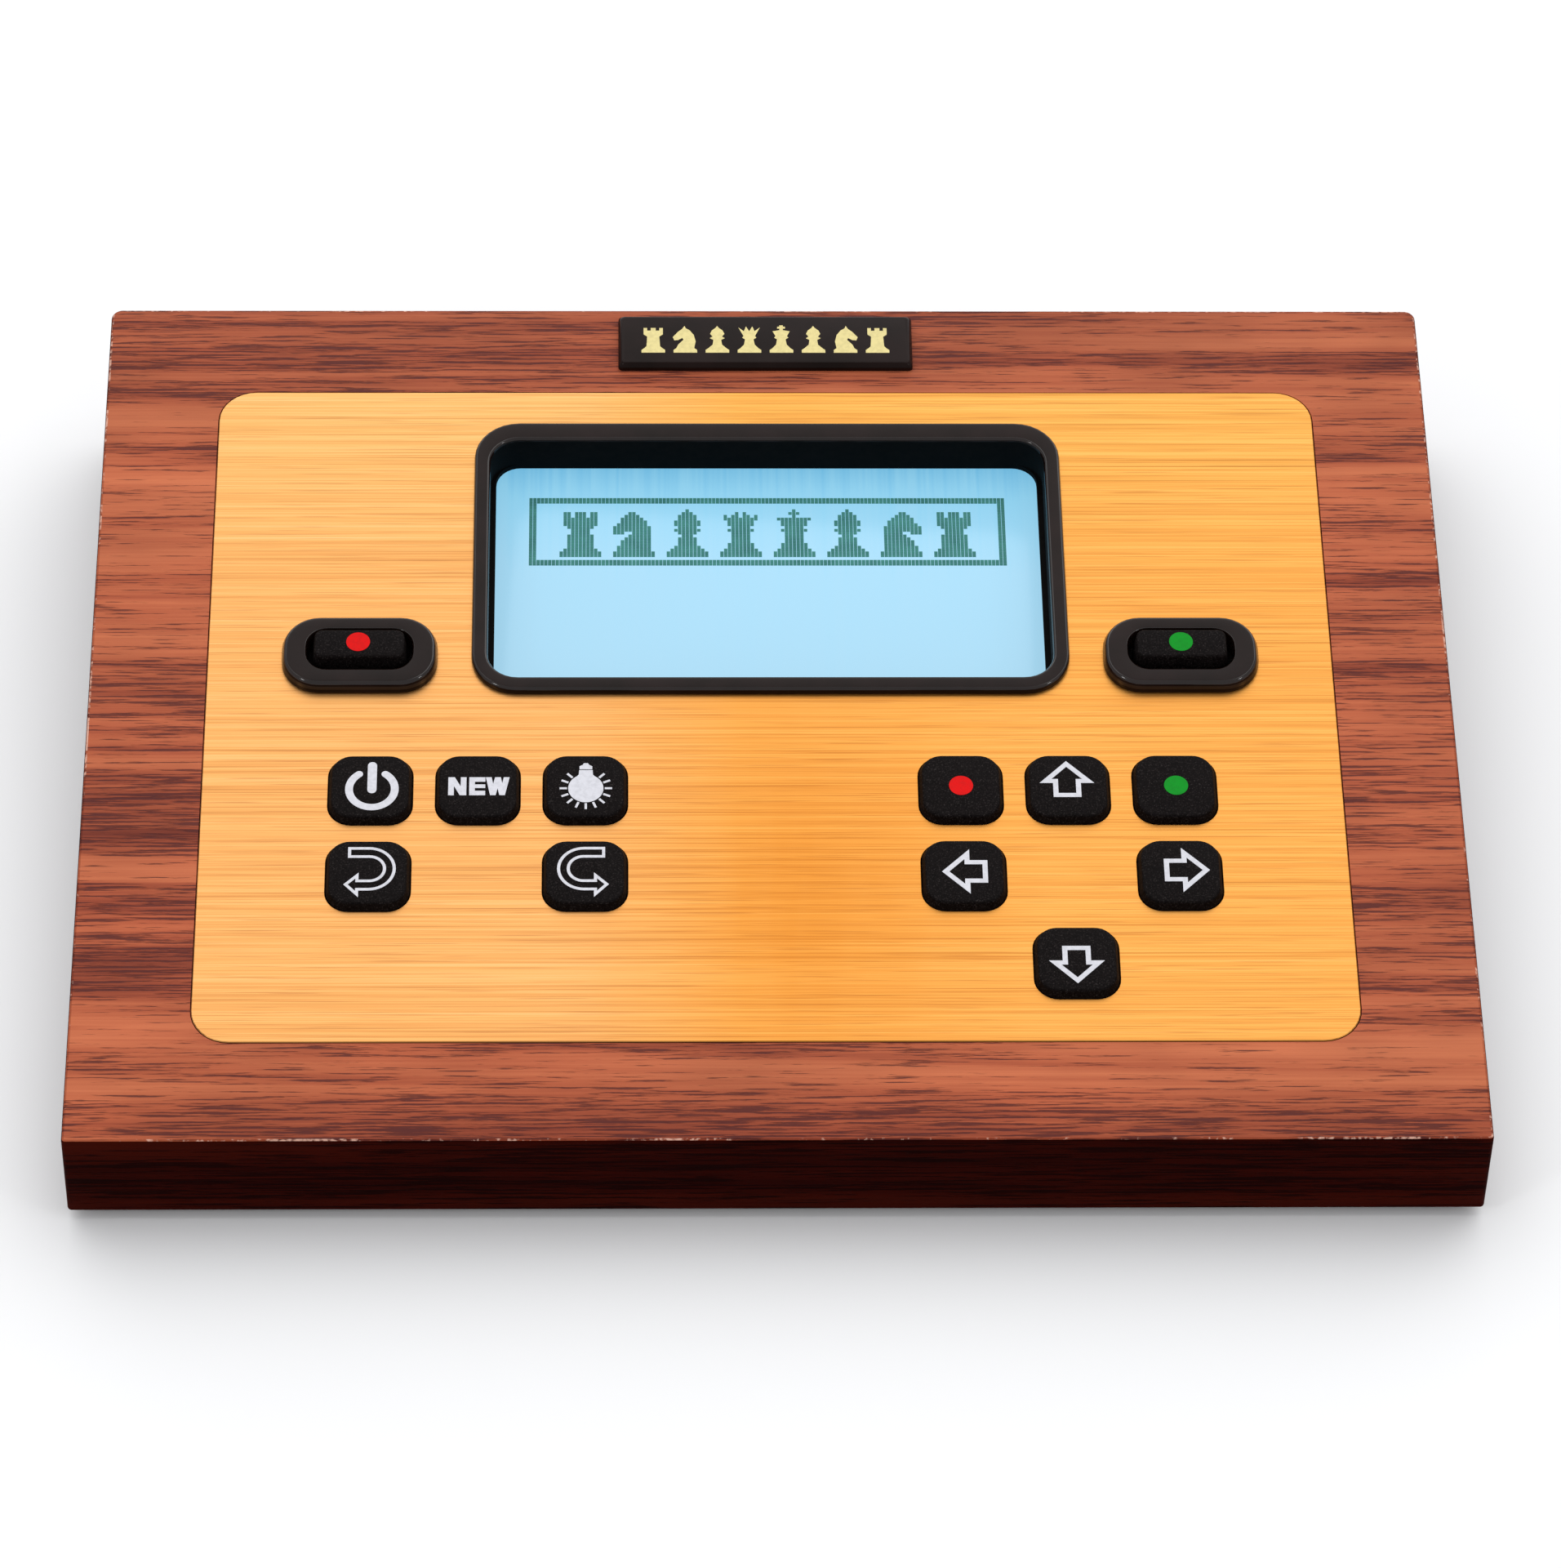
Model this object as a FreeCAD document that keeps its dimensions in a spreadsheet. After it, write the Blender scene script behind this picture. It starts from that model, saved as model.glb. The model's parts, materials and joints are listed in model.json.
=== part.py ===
"""Electronic chess computer in a wedge-shaped wooden case.

A brass faceplate carries a sunk display, eleven square silicone keys in two clusters and two
long keys in raised collars. Lengths are millimetres and angles are degrees.

The row's frame stands on the table: X to the right, Y to the back, Z up, with the origin under
the middle of the case. The top slopes down to the front. What lies on or under the top is drawn
in the panel's own frame: X to the right, Y up the slope, Z out of the panel, with the origin in
the middle of the wooden top.
"""
import FreeCAD
import Part
import math
import os
import re
import Sketcher
from FreeCAD import Placement, Rotation, Vector

SIZES = {
    # Wooden case
    "case_width": 180.0,
    "case_depth": 139.0,
    "front_height": 14.0,
    "slope_angle": 4.1,
    "foot_height": 1.6,
    "board_thickness": 5.0,
    "rail_thickness": 8.0,
    "rear_corner": 1.5,
    "front_corner": 0.6,
    "block_size": 12.0,
    # Brass faceplate, let into the top
    "plate_width": 149.0,
    "plate_depth": 109.0,
    "plate_thickness": 1.0,
    "plate_recess": 0.9,
    "plate_radius": 5.0,
    "fit_gap": 0.2,
    # Square keys
    "key_pitch": 14.0,
    "key_size": 10.8,
    "key_radius": 3.0,
    "key_edge": 0.5,
    "key_top": 1.3,
    "key_gap": 0.25,
    "key_bottom": 2.9,
    "cluster_offset": 38.5,
    "first_row": 14.5,
    "flange_size": 12.6,
    "flange_top": 1.2,
    "pill_diameter": 5.0,
    "pill_height": 0.8,
    # Long keys and their collars
    "side_key_offset": 54.4,
    "side_key_row": 8.0,
    "side_key_length": 12.5,
    "side_key_width": 5.3,
    "side_key_top": 3.0,
    "side_flange_top": 1.5,
    "side_flange_length": 16.0,
    "side_flange_width": 8.8,
    "collar_length": 20.6,
    "collar_width": 11.9,
    "collar_top": 1.9,
    "collar_edge": 0.45,
    "collar_opening_length": 14.1,
    "collar_opening_width": 7.1,
    "collar_neck_length": 17.6,
    "collar_neck_width": 9.6,
    # Key mats and key boards
    "mat_thickness": 0.8,
    "mat_hole": 12.2,
    "mat_gap": 0.3,
    "field_width": 44.0,
    "field_top": 6.5,
    "left_field_depth": 30.0,
    "right_field_depth": 44.0,
    "side_field_width": 20.2,
    "side_field_top": 14.5,
    "key_board_lap": 5.0,
    "key_board_far_screw": 12.0,
    "board_sheet": 1.6,
    # Display
    "bezel_width": 79.3,
    "bezel_depth": 46.5,
    "bezel_centre": 25.05,
    "bezel_radius": 6.0,
    "bezel_top": 1.2,
    "bezel_edge": 0.5,
    "window_width": 75.0,
    "window_depth": 41.1,
    "window_centre": 24.65,
    "window_radius": 4.0,
    "lip_width": 73.6,
    "lip_radius": 3.3,
    "lip_height": 0.8,
    "neck_width": 77.0,
    "neck_depth": 44.0,
    "neck_radius": 4.8,
    "glass_width": 78.0,
    "glass_depth": 44.6,
    "glass_thickness": 1.1,
    "lcd_frame_width": 80.4,
    "lcd_frame_depth": 48.5,
    "lcd_stack": 4.0,
    "lcd_board_width": 90.0,
    "lcd_board_depth": 50.0,
    "lcd_screw_inset": 2.9,
    # Nameplate on the wood behind the faceplate
    "nameplate_width": 40.4,
    "nameplate_depth": 9.4,
    "nameplate_height": 1.2,
    "nameplate_bevel": 0.6,
    "nameplate_centre": 63.2,
    # Base cover, feet and main board
    "cover_thickness": 2.5,
    "cover_gap": 0.3,
    "post_diameter": 6.0,
    "post_height": 2.0,
    "foot_diameter": 12.0,
    "foot_inset": 18.0,
    "main_board_width": 130.0,
    "main_board_depth": 50.0,
    "main_board_centre": 35.5,
    "buzzer_diameter": 12.0,
    "buzzer_height": 6.0,
    "buzzer_hole": 2.0,
    "buzzer_inset": 9.0,
    "buzzer_offset": 10.5,
    "sound_slot_width": 1.6,
    "sound_slot_pitch": 3.0,
    "capacitor_diameter": 6.0,
    "capacitor_height": 7.0,
    "capacitor_inset": 5.0,
    "capacitor_pitch": 8.0,
    "chip_height": 1.6,
    "processor_size": 14.0,
    "memory_width": 8.0,
    "memory_depth": 12.0,
    "memory_offset": 18.0,
    "ribbon_sheet": 0.4,
    "ribbon_inset": 7.0,
    "key_ribbon_start": 13.0,
    "key_ribbon_end": 10.0,
    "lcd_ribbon_start": 20.0,
    "lcd_ribbon_end": 16.0,
    "key_ribbon_width": 12.0,
    "lcd_ribbon_width": 20.0,
    # Sockets in the rear rail
    "socket_wall": 2.0,
    "socket_height": 10.7,
    "socket_recess_gap": 0.3,
    "power_offset": 48.0,
    "power_width": 9.4,
    "power_length": 14.0,
    "power_nose": 8.5,
    "power_hole": 6.3,
    "power_pin": 2.0,
    "power_reach": 10.0,
    "link_offset": 24.0,
    "link_width": 14.0,
    "link_length": 13.0,
    "link_nose": 10.4,
    "link_groove": 9.0,
    "link_core": 7.4,
    "link_reach": 6.0,
    "link_pin_hole": 1.0,
    "link_pin_circle": 4.4,
    # Screws
    "base_screw_diameter": 3.0,
    "base_screw_head": 6.0,
    "base_screw_length": 8.0,
    "board_screw_diameter": 2.0,
    "board_screw_head": 3.6,
    "board_screw_head_height": 1.2,
    "board_screw_length": 4.0,
    "slot_width": 0.7,
}

# Square keys: name, cluster side, column in the cluster, row down from the first
SQUARE_KEYS = [
    ("power_key", -1, -1, 0),
    ("new_game_key", -1, 0, 0),
    ("light_key", -1, 1, 0),
    ("undo_key", -1, -1, 1),
    ("redo_key", -1, 1, 1),
    ("red_key", 1, -1, 0),
    ("up_key", 1, 0, 0),
    ("green_key", 1, 1, 0),
    ("left_arrow_key", 1, -1, 1),
    ("right_arrow_key", 1, 1, 1),
    ("down_key", 1, 0, 2),
]
SIDES = [("left", -1), ("right", 1)]
CORNERS = [(-1, -1), (1, -1), (1, 1), (-1, 1)]

# The middle of the wooden top, above the table
PANEL_HEIGHT = "foot_height + front_height + case_depth / 2 * tan(slope_angle * 1 deg)"
SLOPE_LENGTH = "case_depth / cos(slope_angle * 1 deg)"
COVER_TOP = "foot_height + cover_thickness"
MAIN_BOARD_BOTTOM = "foot_height + cover_thickness + post_height"
MAIN_BOARD_TOP = "foot_height + cover_thickness + post_height + board_sheet"
BUZZER_PLACE = ("buzzer_inset - main_board_width / 2", "main_board_centre - buzzer_offset")
CUT_CLEAR = "20"
QUARTER_TURN = math.pi / 2

DOC = FreeCAD.newDocument("chess_computer")
SHEET = DOC.addObject("Spreadsheet::Sheet", "dims")
NODES = []


def fill_sheet():
    """Write each driving dimension into its own cell, named by an alias."""
    for row, (name, size) in enumerate(SIZES.items(), 1):
        SHEET.set("A%d" % row, name)
        SHEET.set("B%d" % row, str(size))
        SHEET.setAlias("B%d" % row, name)
    DOC.recompute()


def bound(expression):
    """Point every size named in an expression at its cell in the sheet."""
    def cell(match):
        word = match.group()
        return "dims." + word if word in SIZES else word
    return re.sub(r"[a-z_]+", cell, str(expression))


def value(expression):
    """The expression's number, for a first drawing that the constraints then hold."""
    return float(SHEET.evalExpression(bound(expression)))


# Bodies, sketches and features

def new_body(label, on_panel=False):
    """An empty sub-part, standing on the table's frame or on the sloping panel's."""
    body = DOC.addObject("PartDesign::Body", label)
    body.Label = label
    if on_panel:
        body.Placement = Placement(Vector(), Rotation(Vector(1, 0, 0), 1))
        body.setExpression("Placement.Base.z", bound(PANEL_HEIGHT))
        body.setExpression("Placement.Rotation.Angle", bound("slope_angle"))
    NODES.append(body)
    return body


def sketch_on(body, plane, level=0):
    """A sketch on one of the body's planes, moved to a level along +Z, +Y or +X."""
    sketch = body.newObject("Sketcher::SketchObject", "sketch")
    support = [item for item in body.Origin.OriginFeatures if item.Role == plane][0]
    sketch.AttachmentSupport = (support, [""])
    sketch.MapMode = "FlatFace"
    sign = "-" if plane == "XZ_Plane" else ""
    sketch.setExpression("AttachmentOffset.Base.z", bound("%s(%s)" % (sign, level)))
    return sketch


def sloped_section(body, plane):
    """A sketch across an upright body, with its axes along the panel and out of it."""
    sketch = sketch_on(body, plane)
    axis = Vector(1, 0, 0) if plane == "XZ_Plane" else Vector(0, 0, 1)
    sketch.AttachmentOffset = Placement(Vector(), Rotation(axis, 1))
    sketch.setExpression("AttachmentOffset.Base.y", bound(PANEL_HEIGHT))
    sketch.setExpression("AttachmentOffset.Rotation.Angle", bound("slope_angle"))
    return sketch


def bind(sketch, constraint, expression):
    """Add a dimension to a sketch and tie it to the sheet."""
    index = sketch.addConstraint(constraint)
    sketch.setExpression("Constraints[%d]" % index, bound(expression))


def polygon(sketch, corners):
    """A closed outline of straight lines through corners given as expressions."""
    points = [Vector(value(x), value(y), 0) for x, y in corners]
    first = sketch.GeometryCount
    count = len(points)
    for index, point in enumerate(points):
        sketch.addGeometry(Part.LineSegment(point, points[(index + 1) % count]), False)
    for index in range(count):
        following = first + (index + 1) % count
        sketch.addConstraint(Sketcher.Constraint("Coincident", first + index, 2, following, 1))
    for index, (x, y) in enumerate(corners):
        line = first + index
        point = points[index]
        bind(sketch, Sketcher.Constraint("DistanceX", -1, 1, line, 1, point.x), x)
        bind(sketch, Sketcher.Constraint("DistanceY", -1, 1, line, 1, point.y), y)


def rectangle(sketch, width, depth, x=0, y=0):
    """A rectangle with square corners about a centre."""
    corners = []
    for side, end in CORNERS:
        corner_x = "%s + %d * (%s) / 2" % (x, side, width)
        corner_y = "%s + %d * (%s) / 2" % (y, end, depth)
        corners.append((corner_x, corner_y))
    polygon(sketch, corners)


def rounded_rectangle(sketch, width, depth, radius, x=0, y=0):
    """A rectangle with equal round corners about a centre."""
    half_x = value(width) / 2
    half_y = value(depth) / 2
    round_size = value(radius)
    centre = Vector(value(x), value(y), 0)
    first = sketch.GeometryCount
    for index, (side, end) in enumerate(CORNERS):
        next_side, next_end = CORNERS[(index + 1) % 4]
        along = Vector(next_side - side, next_end - end, 0) / 2
        start = centre + Vector(side * half_x, end * half_y, 0) + along * round_size
        stop = centre + Vector(next_side * half_x, next_end * half_y, 0) - along * round_size
        sketch.addGeometry(Part.LineSegment(start, stop), False)
        inward = Vector(-along.y, along.x, 0)
        middle = stop + inward * round_size
        circle = Part.Circle(middle, Vector(0, 0, 1), round_size)
        turn = (index - 1) * QUARTER_TURN
        sketch.addGeometry(Part.ArcOfCircle(circle, turn, turn + QUARTER_TURN), False)
    for index in range(4):
        line = first + 2 * index
        arc = line + 1
        next_line = first + (2 * index + 2) % 8
        sketch.addConstraint(Sketcher.Constraint("Tangent", line, 2, arc, 1))
        sketch.addConstraint(Sketcher.Constraint("Tangent", arc, 2, next_line, 1))
        direction = "Horizontal" if index % 2 == 0 else "Vertical"
        sketch.addConstraint(Sketcher.Constraint(direction, line))
        if index:
            sketch.addConstraint(Sketcher.Constraint("Equal", first + 1, arc))
    left = centre.x - half_x
    low = centre.y - half_y
    bottom_line = first
    right_line = first + 2
    top_line = first + 4
    left_line = first + 6
    bind(sketch, Sketcher.Constraint("Radius", first + 1, round_size), radius)
    bind(sketch, Sketcher.Constraint("DistanceX", -1, 1, left_line, 1, left),
         "%s - (%s) / 2" % (x, width))
    bind(sketch, Sketcher.Constraint("DistanceX", -1, 1, right_line, 1, left + 2 * half_x),
         "%s + (%s) / 2" % (x, width))
    bind(sketch, Sketcher.Constraint("DistanceY", -1, 1, bottom_line, 1, low),
         "%s - (%s) / 2" % (y, depth))
    bind(sketch, Sketcher.Constraint("DistanceY", -1, 1, top_line, 1, low + 2 * half_y),
         "%s + (%s) / 2" % (y, depth))


def stadium(sketch, length, width, x=0, y=0):
    """A long outline with round ends about a centre."""
    radius = value(width) / 2
    reach = value(length) / 2 - radius
    centre = Vector(value(x), value(y), 0)
    up = Vector(0, radius, 0)
    left = centre - Vector(reach, 0, 0)
    right = centre + Vector(reach, 0, 0)
    low = sketch.addGeometry(Part.LineSegment(left - up, right - up), False)
    right_arc = sketch.addGeometry(
        Part.Arc(right - up, right + Vector(radius, 0, 0), right + up), False)
    high = sketch.addGeometry(Part.LineSegment(right + up, left + up), False)
    left_arc = sketch.addGeometry(
        Part.Arc(left + up, left - Vector(radius, 0, 0), left - up), False)
    loop = [low, right_arc, high, left_arc, low]
    for item, following in zip(loop, loop[1:]):
        sketch.addConstraint(Sketcher.Constraint("Tangent", item, 2, following, 1))
    sketch.addConstraint(Sketcher.Constraint("Horizontal", low))
    sketch.addConstraint(Sketcher.Constraint("Horizontal", high))
    half_straight = "((%s) - (%s)) / 2" % (length, width)
    bind(sketch, Sketcher.Constraint("Radius", right_arc, radius), "(%s) / 2" % width)
    bind(sketch, Sketcher.Constraint("DistanceX", -1, 1, left_arc, 3, left.x),
         "%s - %s" % (x, half_straight))
    bind(sketch, Sketcher.Constraint("DistanceX", -1, 1, right_arc, 3, right.x),
         "%s + %s" % (x, half_straight))
    bind(sketch, Sketcher.Constraint("DistanceY", -1, 1, right_arc, 3, centre.y), y)


def circles(sketch, diameter, centres):
    """Equal circles at centres given as expressions."""
    for x, y in centres:
        centre = Vector(value(x), value(y), 0)
        radius = value(diameter) / 2
        index = sketch.addGeometry(Part.Circle(centre, Vector(0, 0, 1), radius), False)
        bind(sketch, Sketcher.Constraint("Diameter", index, 2 * radius), diameter)
        bind(sketch, Sketcher.Constraint("DistanceX", -1, 1, index, 3, centre.x), x)
        bind(sketch, Sketcher.Constraint("DistanceY", -1, 1, index, 3, centre.y), y)


def pad(body, sketch, length, backwards=False, taper=0):
    """Add the sketch's outline, drawn out along its normal."""
    feature = body.newObject("PartDesign::Pad", "pad")
    feature.Profile = sketch
    feature.setExpression("Length", bound(length))
    feature.Reversed = backwards
    feature.TaperAngle = taper
    DOC.recompute()
    return feature


def pocket(body, sketch, depth=None, backwards=False, both_ways=False, taper=0):
    """Cut the sketch's outline out, through everything unless a depth is given."""
    before = body.Shape.Volume
    feature = body.newObject("PartDesign::Pocket", "pocket")
    feature.Profile = sketch
    feature.Reversed = backwards
    feature.TaperAngle = taper
    if depth is None:
        feature.Type = "ThroughAll"
    else:
        feature.setExpression("Length", bound(depth))
    if both_ways:
        feature.SideType = "Symmetric"
    DOC.recompute()
    if not body.Shape.Volume < before:
        raise RuntimeError("a pocket in %s cuts nothing" % body.Label)
    return feature


def level_edges(body, level):
    """The names of the edges that lie at one level of the body's own Z."""
    names = []
    placed = body.Placement.inverse()
    for index, edge in enumerate(body.Shape.Edges, 1):
        ends = [placed.multVec(vertex.Point).z for vertex in edge.Vertexes]
        if all(abs(end - level) < 1e-4 for end in ends):
            names.append("Edge%d" % index)
    return names


def round_edges(body, level, radius):
    """Round the edges at one level of the body."""
    base = body.Tip
    edges = level_edges(body, value(level))
    fillet = body.newObject("PartDesign::Fillet", "round")
    fillet.Base = (base, edges)
    fillet.setExpression("Radius", bound(radius))
    DOC.recompute()


def bevel_edges(body, level, size):
    """Bevel the edges at one level of the body."""
    base = body.Tip
    edges = level_edges(body, value(level))
    chamfer = body.newObject("PartDesign::Chamfer", "bevel")
    chamfer.Base = (base, edges)
    chamfer.setExpression("Size", bound(size))
    DOC.recompute()


def plain_box(label, size, corner):
    """A box of three sizes with its lowest corner at a point, all given as expressions."""
    box = DOC.addObject("Part::Box", label)
    box.Label = label
    for name, expression in zip(("Length", "Width", "Height"), size):
        box.setExpression(name, bound(expression))
    for name, expression in zip("xyz", corner):
        box.setExpression("Placement.Base." + name, bound(expression))
    return box


def four_corners(x, y):
    """Four places that mirror each other about both centre lines."""
    return [("%d * (%s)" % (side, x), "%d * (%s)" % (end, y)) for side, end in CORNERS]


# Wooden case: a top board and four rails, mitred where they meet

def round_case_corners(body, half_depth="case_depth / 2"):
    """Take the sharp corner off the upright edges of the case."""
    sketch = sketch_on(body, "XY_Plane")
    for side, end in CORNERS:
        corner = Vector(side * value("case_width") / 2, end * value(half_depth), 0)
        radius_name = "rear_corner" if end > 0 else "front_corner"
        radius = value(radius_name)
        past = 1.0
        middle = corner - Vector(side * radius, end * radius, 0)
        on_x = middle + Vector(0, end * radius, 0)
        on_y = middle + Vector(side * radius, 0, 0)
        halfway = middle + Vector(side, end, 0).normalize() * radius
        outer = corner + Vector(side * past, end * past, 0)
        path = [on_y, Vector(outer.x, on_y.y, 0), outer, Vector(on_x.x, outer.y, 0), on_x]
        first = sketch.GeometryCount
        for start, stop in zip(path, path[1:]):
            sketch.addGeometry(Part.LineSegment(start, stop), False)
        arc = sketch.addGeometry(Part.Arc(on_y, halfway, on_x), False)
        for line in range(first, first + 3):
            sketch.addConstraint(Sketcher.Constraint("Coincident", line, 2, line + 1, 1))
        anticlockwise = side * end > 0
        arc_start, arc_stop = (1, 2) if anticlockwise else (2, 1)
        sketch.addConstraint(Sketcher.Constraint("Coincident", first, 1, arc, arc_start))
        sketch.addConstraint(Sketcher.Constraint("Coincident", first + 3, 2, arc, arc_stop))
        bind(sketch, Sketcher.Constraint("Radius", arc, radius), radius_name)
    pocket(body, sketch, both_ways=True)


def make_top_board():
    """The sloping top: a rebate for the faceplate and openings for what lies under it."""
    body = new_body("top_board", on_panel=True)
    half_width = "case_width / 2"
    half_slope = "(%s) / 2" % SLOPE_LENGTH
    outline = sketch_on(body, "XY_Plane")
    rectangle(outline, "case_width", SLOPE_LENGTH)
    pad(body, outline, "board_thickness", backwards=True)
    for plane, half in (("XZ_Plane", half_width), ("YZ_Plane", half_slope)):
        mitres = sketch_on(body, plane)
        for side in (-1, 1):
            outer = "%d * (%s + 1)" % (side, half)
            inner = "%d * (%s - board_thickness)" % (side, half)
            lowest = "%d * (%s - board_thickness - 1)" % (side, half)
            below = "-board_thickness - 1"
            polygon(mitres, [(outer, "1"), (inner, "-board_thickness"), (lowest, below),
                             (outer, below)])
        pocket(body, mitres, both_ways=True)
    round_case_corners(body, half_slope)
    rebate = sketch_on(body, "XY_Plane")
    rounded_rectangle(rebate, "plate_width + 2 * fit_gap", "plate_depth + 2 * fit_gap",
                      "plate_radius + fit_gap")
    pocket(body, rebate, "plate_recess")
    window = sketch_on(body, "XY_Plane")
    rounded_rectangle(window, "neck_width + 3 * fit_gap", "neck_depth + 3 * fit_gap",
                      "neck_radius + fit_gap", 0, "bezel_centre")
    pocket(body, window)
    for name, side in SIDES:
        cut_key_field(body, name, side)
    pilots = sketch_on(body, "XY_Plane", "-board_thickness")
    circles(pilots, "board_screw_diameter + 0.1", panel_screw_places())
    pocket(body, pilots, "board_screw_length - board_sheet", backwards=True)


def panel_screw_places():
    """Every screw that is driven up into the top board."""
    return key_board_holes("left", -1) + key_board_holes("right", 1) + lcd_screw_places()


def key_field(name, side, shrink="0"):
    """The two overlapping rectangles under a key cluster and its long key."""
    depth = name + "_field_depth"
    lower = ("field_width - 2 * (%s)" % shrink, depth + " - 2 * (%s)" % shrink,
             "%d * cluster_offset" % side, "-field_top - %s / 2" % depth)
    upper_depth = "(side_field_top + field_top + 6)"
    upper = ("side_field_width - 2 * (%s)" % shrink, upper_depth + " - 2 * (%s)" % shrink,
             "%d * side_key_offset" % side, "side_field_top - %s / 2" % upper_depth)
    return [lower, upper]


def cut_key_field(body, name, side):
    """Open the wood under one key cluster."""
    for width, depth, x, y in key_field(name, side):
        sketch = sketch_on(body, "XY_Plane")
        rounded_rectangle(sketch, width, depth, "key_radius", x, y)
        pocket(body, sketch)


def make_rail(label, outline, mitre_plane, direction):
    """A side of the case: mitred at its ends and to the top board."""
    body = new_body(label)
    plan = sketch_on(body, "XY_Plane", "foot_height")
    polygon(plan, outline)
    pad(body, plan, "front_height + board_thickness + case_depth * tan(slope_angle * 1 deg)")
    half = "case_width / 2" if mitre_plane == "XZ_Plane" else "(%s) / 2" % SLOPE_LENGTH
    outer = "%d * (%s + 2)" % (direction, half)
    mitre_end = "%d * (%s - board_thickness)" % (direction, half)
    inner = "%d * (%s - 2 * rail_thickness)" % (direction, half)
    above = "2 * front_height"
    sloped = sloped_section(body, mitre_plane)
    polygon(sloped, [(outer, "2"), (mitre_end, "-board_thickness"),
                     (inner, "-board_thickness"), (inner, above), (outer, above)])
    pocket(body, sloped, both_ways=True)
    round_case_corners(body)
    return body


def make_rails():
    """Front, rear, left and right rails."""
    x = "case_width / 2"
    y = "case_depth / 2"
    inner_x = "(case_width / 2 - rail_thickness)"
    inner_y = "(case_depth / 2 - rail_thickness)"
    for label, end in (("front_rail", -1), ("rear_rail", 1)):
        outline = [("-" + x, "%d * %s" % (end, y)), (x, "%d * %s" % (end, y)),
                   (inner_x, "%d * %s" % (end, inner_y)), ("-" + inner_x, "%d * %s" % (end, inner_y))]
        rail = make_rail(label, outline, "YZ_Plane", end)
        if label == "rear_rail":
            cut_socket_openings(rail)
    for label, side in (("left_rail", -1), ("right_rail", 1)):
        outline = [("%d * %s" % (side, x), "-" + y), ("%d * %s" % (side, x), y),
                   ("%d * %s" % (side, inner_x), inner_y), ("%d * %s" % (side, inner_x), "-" + inner_y)]
        make_rail(label, outline, "XZ_Plane", side)


def cut_socket_openings(rail):
    """Thin the rear rail from inside at each socket and drill it for the socket's nose."""
    recess_depth = "rail_thickness - socket_wall"
    inner_face = "case_depth / 2 - rail_thickness"
    middle = "%s + socket_height / 2" % MAIN_BOARD_TOP
    for kind in ("power", "link"):
        recess = sketch_on(rail, "XZ_Plane", inner_face)
        rectangle(recess, kind + "_width + 2 * socket_recess_gap",
                  "socket_height + 2 * socket_recess_gap", kind + "_offset", middle)
        pocket(rail, recess, recess_depth)
        drilling = sketch_on(rail, "XZ_Plane", inner_face)
        circles(drilling, kind + "_nose + 2 * fit_gap", [(kind + "_offset", middle)])
        pocket(rail, drilling)


def make_corner_blocks():
    """Glued blocks in the corners that take the base screws."""
    body = new_body("corner_blocks")
    plan = sketch_on(body, "XY_Plane", COVER_TOP)
    x = "(case_width / 2 - rail_thickness - block_size / 2)"
    y = "(case_depth / 2 - rail_thickness - block_size / 2)"
    for corner_x, corner_y in four_corners(x, y):
        rectangle(plan, "block_size", "block_size", corner_x, corner_y)
    pad(body, plan, "case_depth")
    sloped = sloped_section(body, "XZ_Plane")
    above = "case_depth"
    polygon(sloped, [("-case_width", "-board_thickness"), ("case_width", "-board_thickness"),
                     ("case_width", above), ("-case_width", above)])
    pocket(body, sloped, both_ways=True)
    holes = sketch_on(body, "XY_Plane", COVER_TOP)
    circles(holes, "base_screw_diameter + 0.1", four_corners(x, y))
    pocket(body, holes, "base_screw_length - 2", backwards=True)


# Faceplate and what is fixed to it

def key_place(side, column, row):
    """The centre of a square key on the panel."""
    x = "(%d * cluster_offset + %d * key_pitch)" % (side, column)
    y = "(-first_row - %d * key_pitch)" % row
    return x, y


def side_key_place(side):
    """The centre of a long key on the panel."""
    return "%d * side_key_offset" % side, "side_key_row"


def make_faceplate():
    """The brass plate with its holes for keys, collars and display."""
    body = new_body("faceplate", on_panel=True)
    outline = sketch_on(body, "XY_Plane", "-plate_recess")
    rounded_rectangle(outline, "plate_width", "plate_depth", "plate_radius")
    pad(body, outline, "plate_thickness")
    window = sketch_on(body, "XY_Plane", CUT_CLEAR)
    rounded_rectangle(window, "neck_width + 2 * fit_gap", "neck_depth + 2 * fit_gap",
                      "neck_radius + fit_gap", 0, "bezel_centre")
    pocket(body, window)
    for name, side, column, row in SQUARE_KEYS:
        x, y = key_place(side, column, row)
        hole = sketch_on(body, "XY_Plane", CUT_CLEAR)
        rounded_rectangle(hole, "key_size + 2 * key_gap", "key_size + 2 * key_gap",
                          "key_radius + key_gap", x, y)
        pocket(body, hole)
    for name, side in SIDES:
        x, y = side_key_place(side)
        slot = sketch_on(body, "XY_Plane", CUT_CLEAR)
        stadium(slot, "collar_neck_length + fit_gap", "collar_neck_width + fit_gap", x, y)
        pocket(body, slot)


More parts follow.
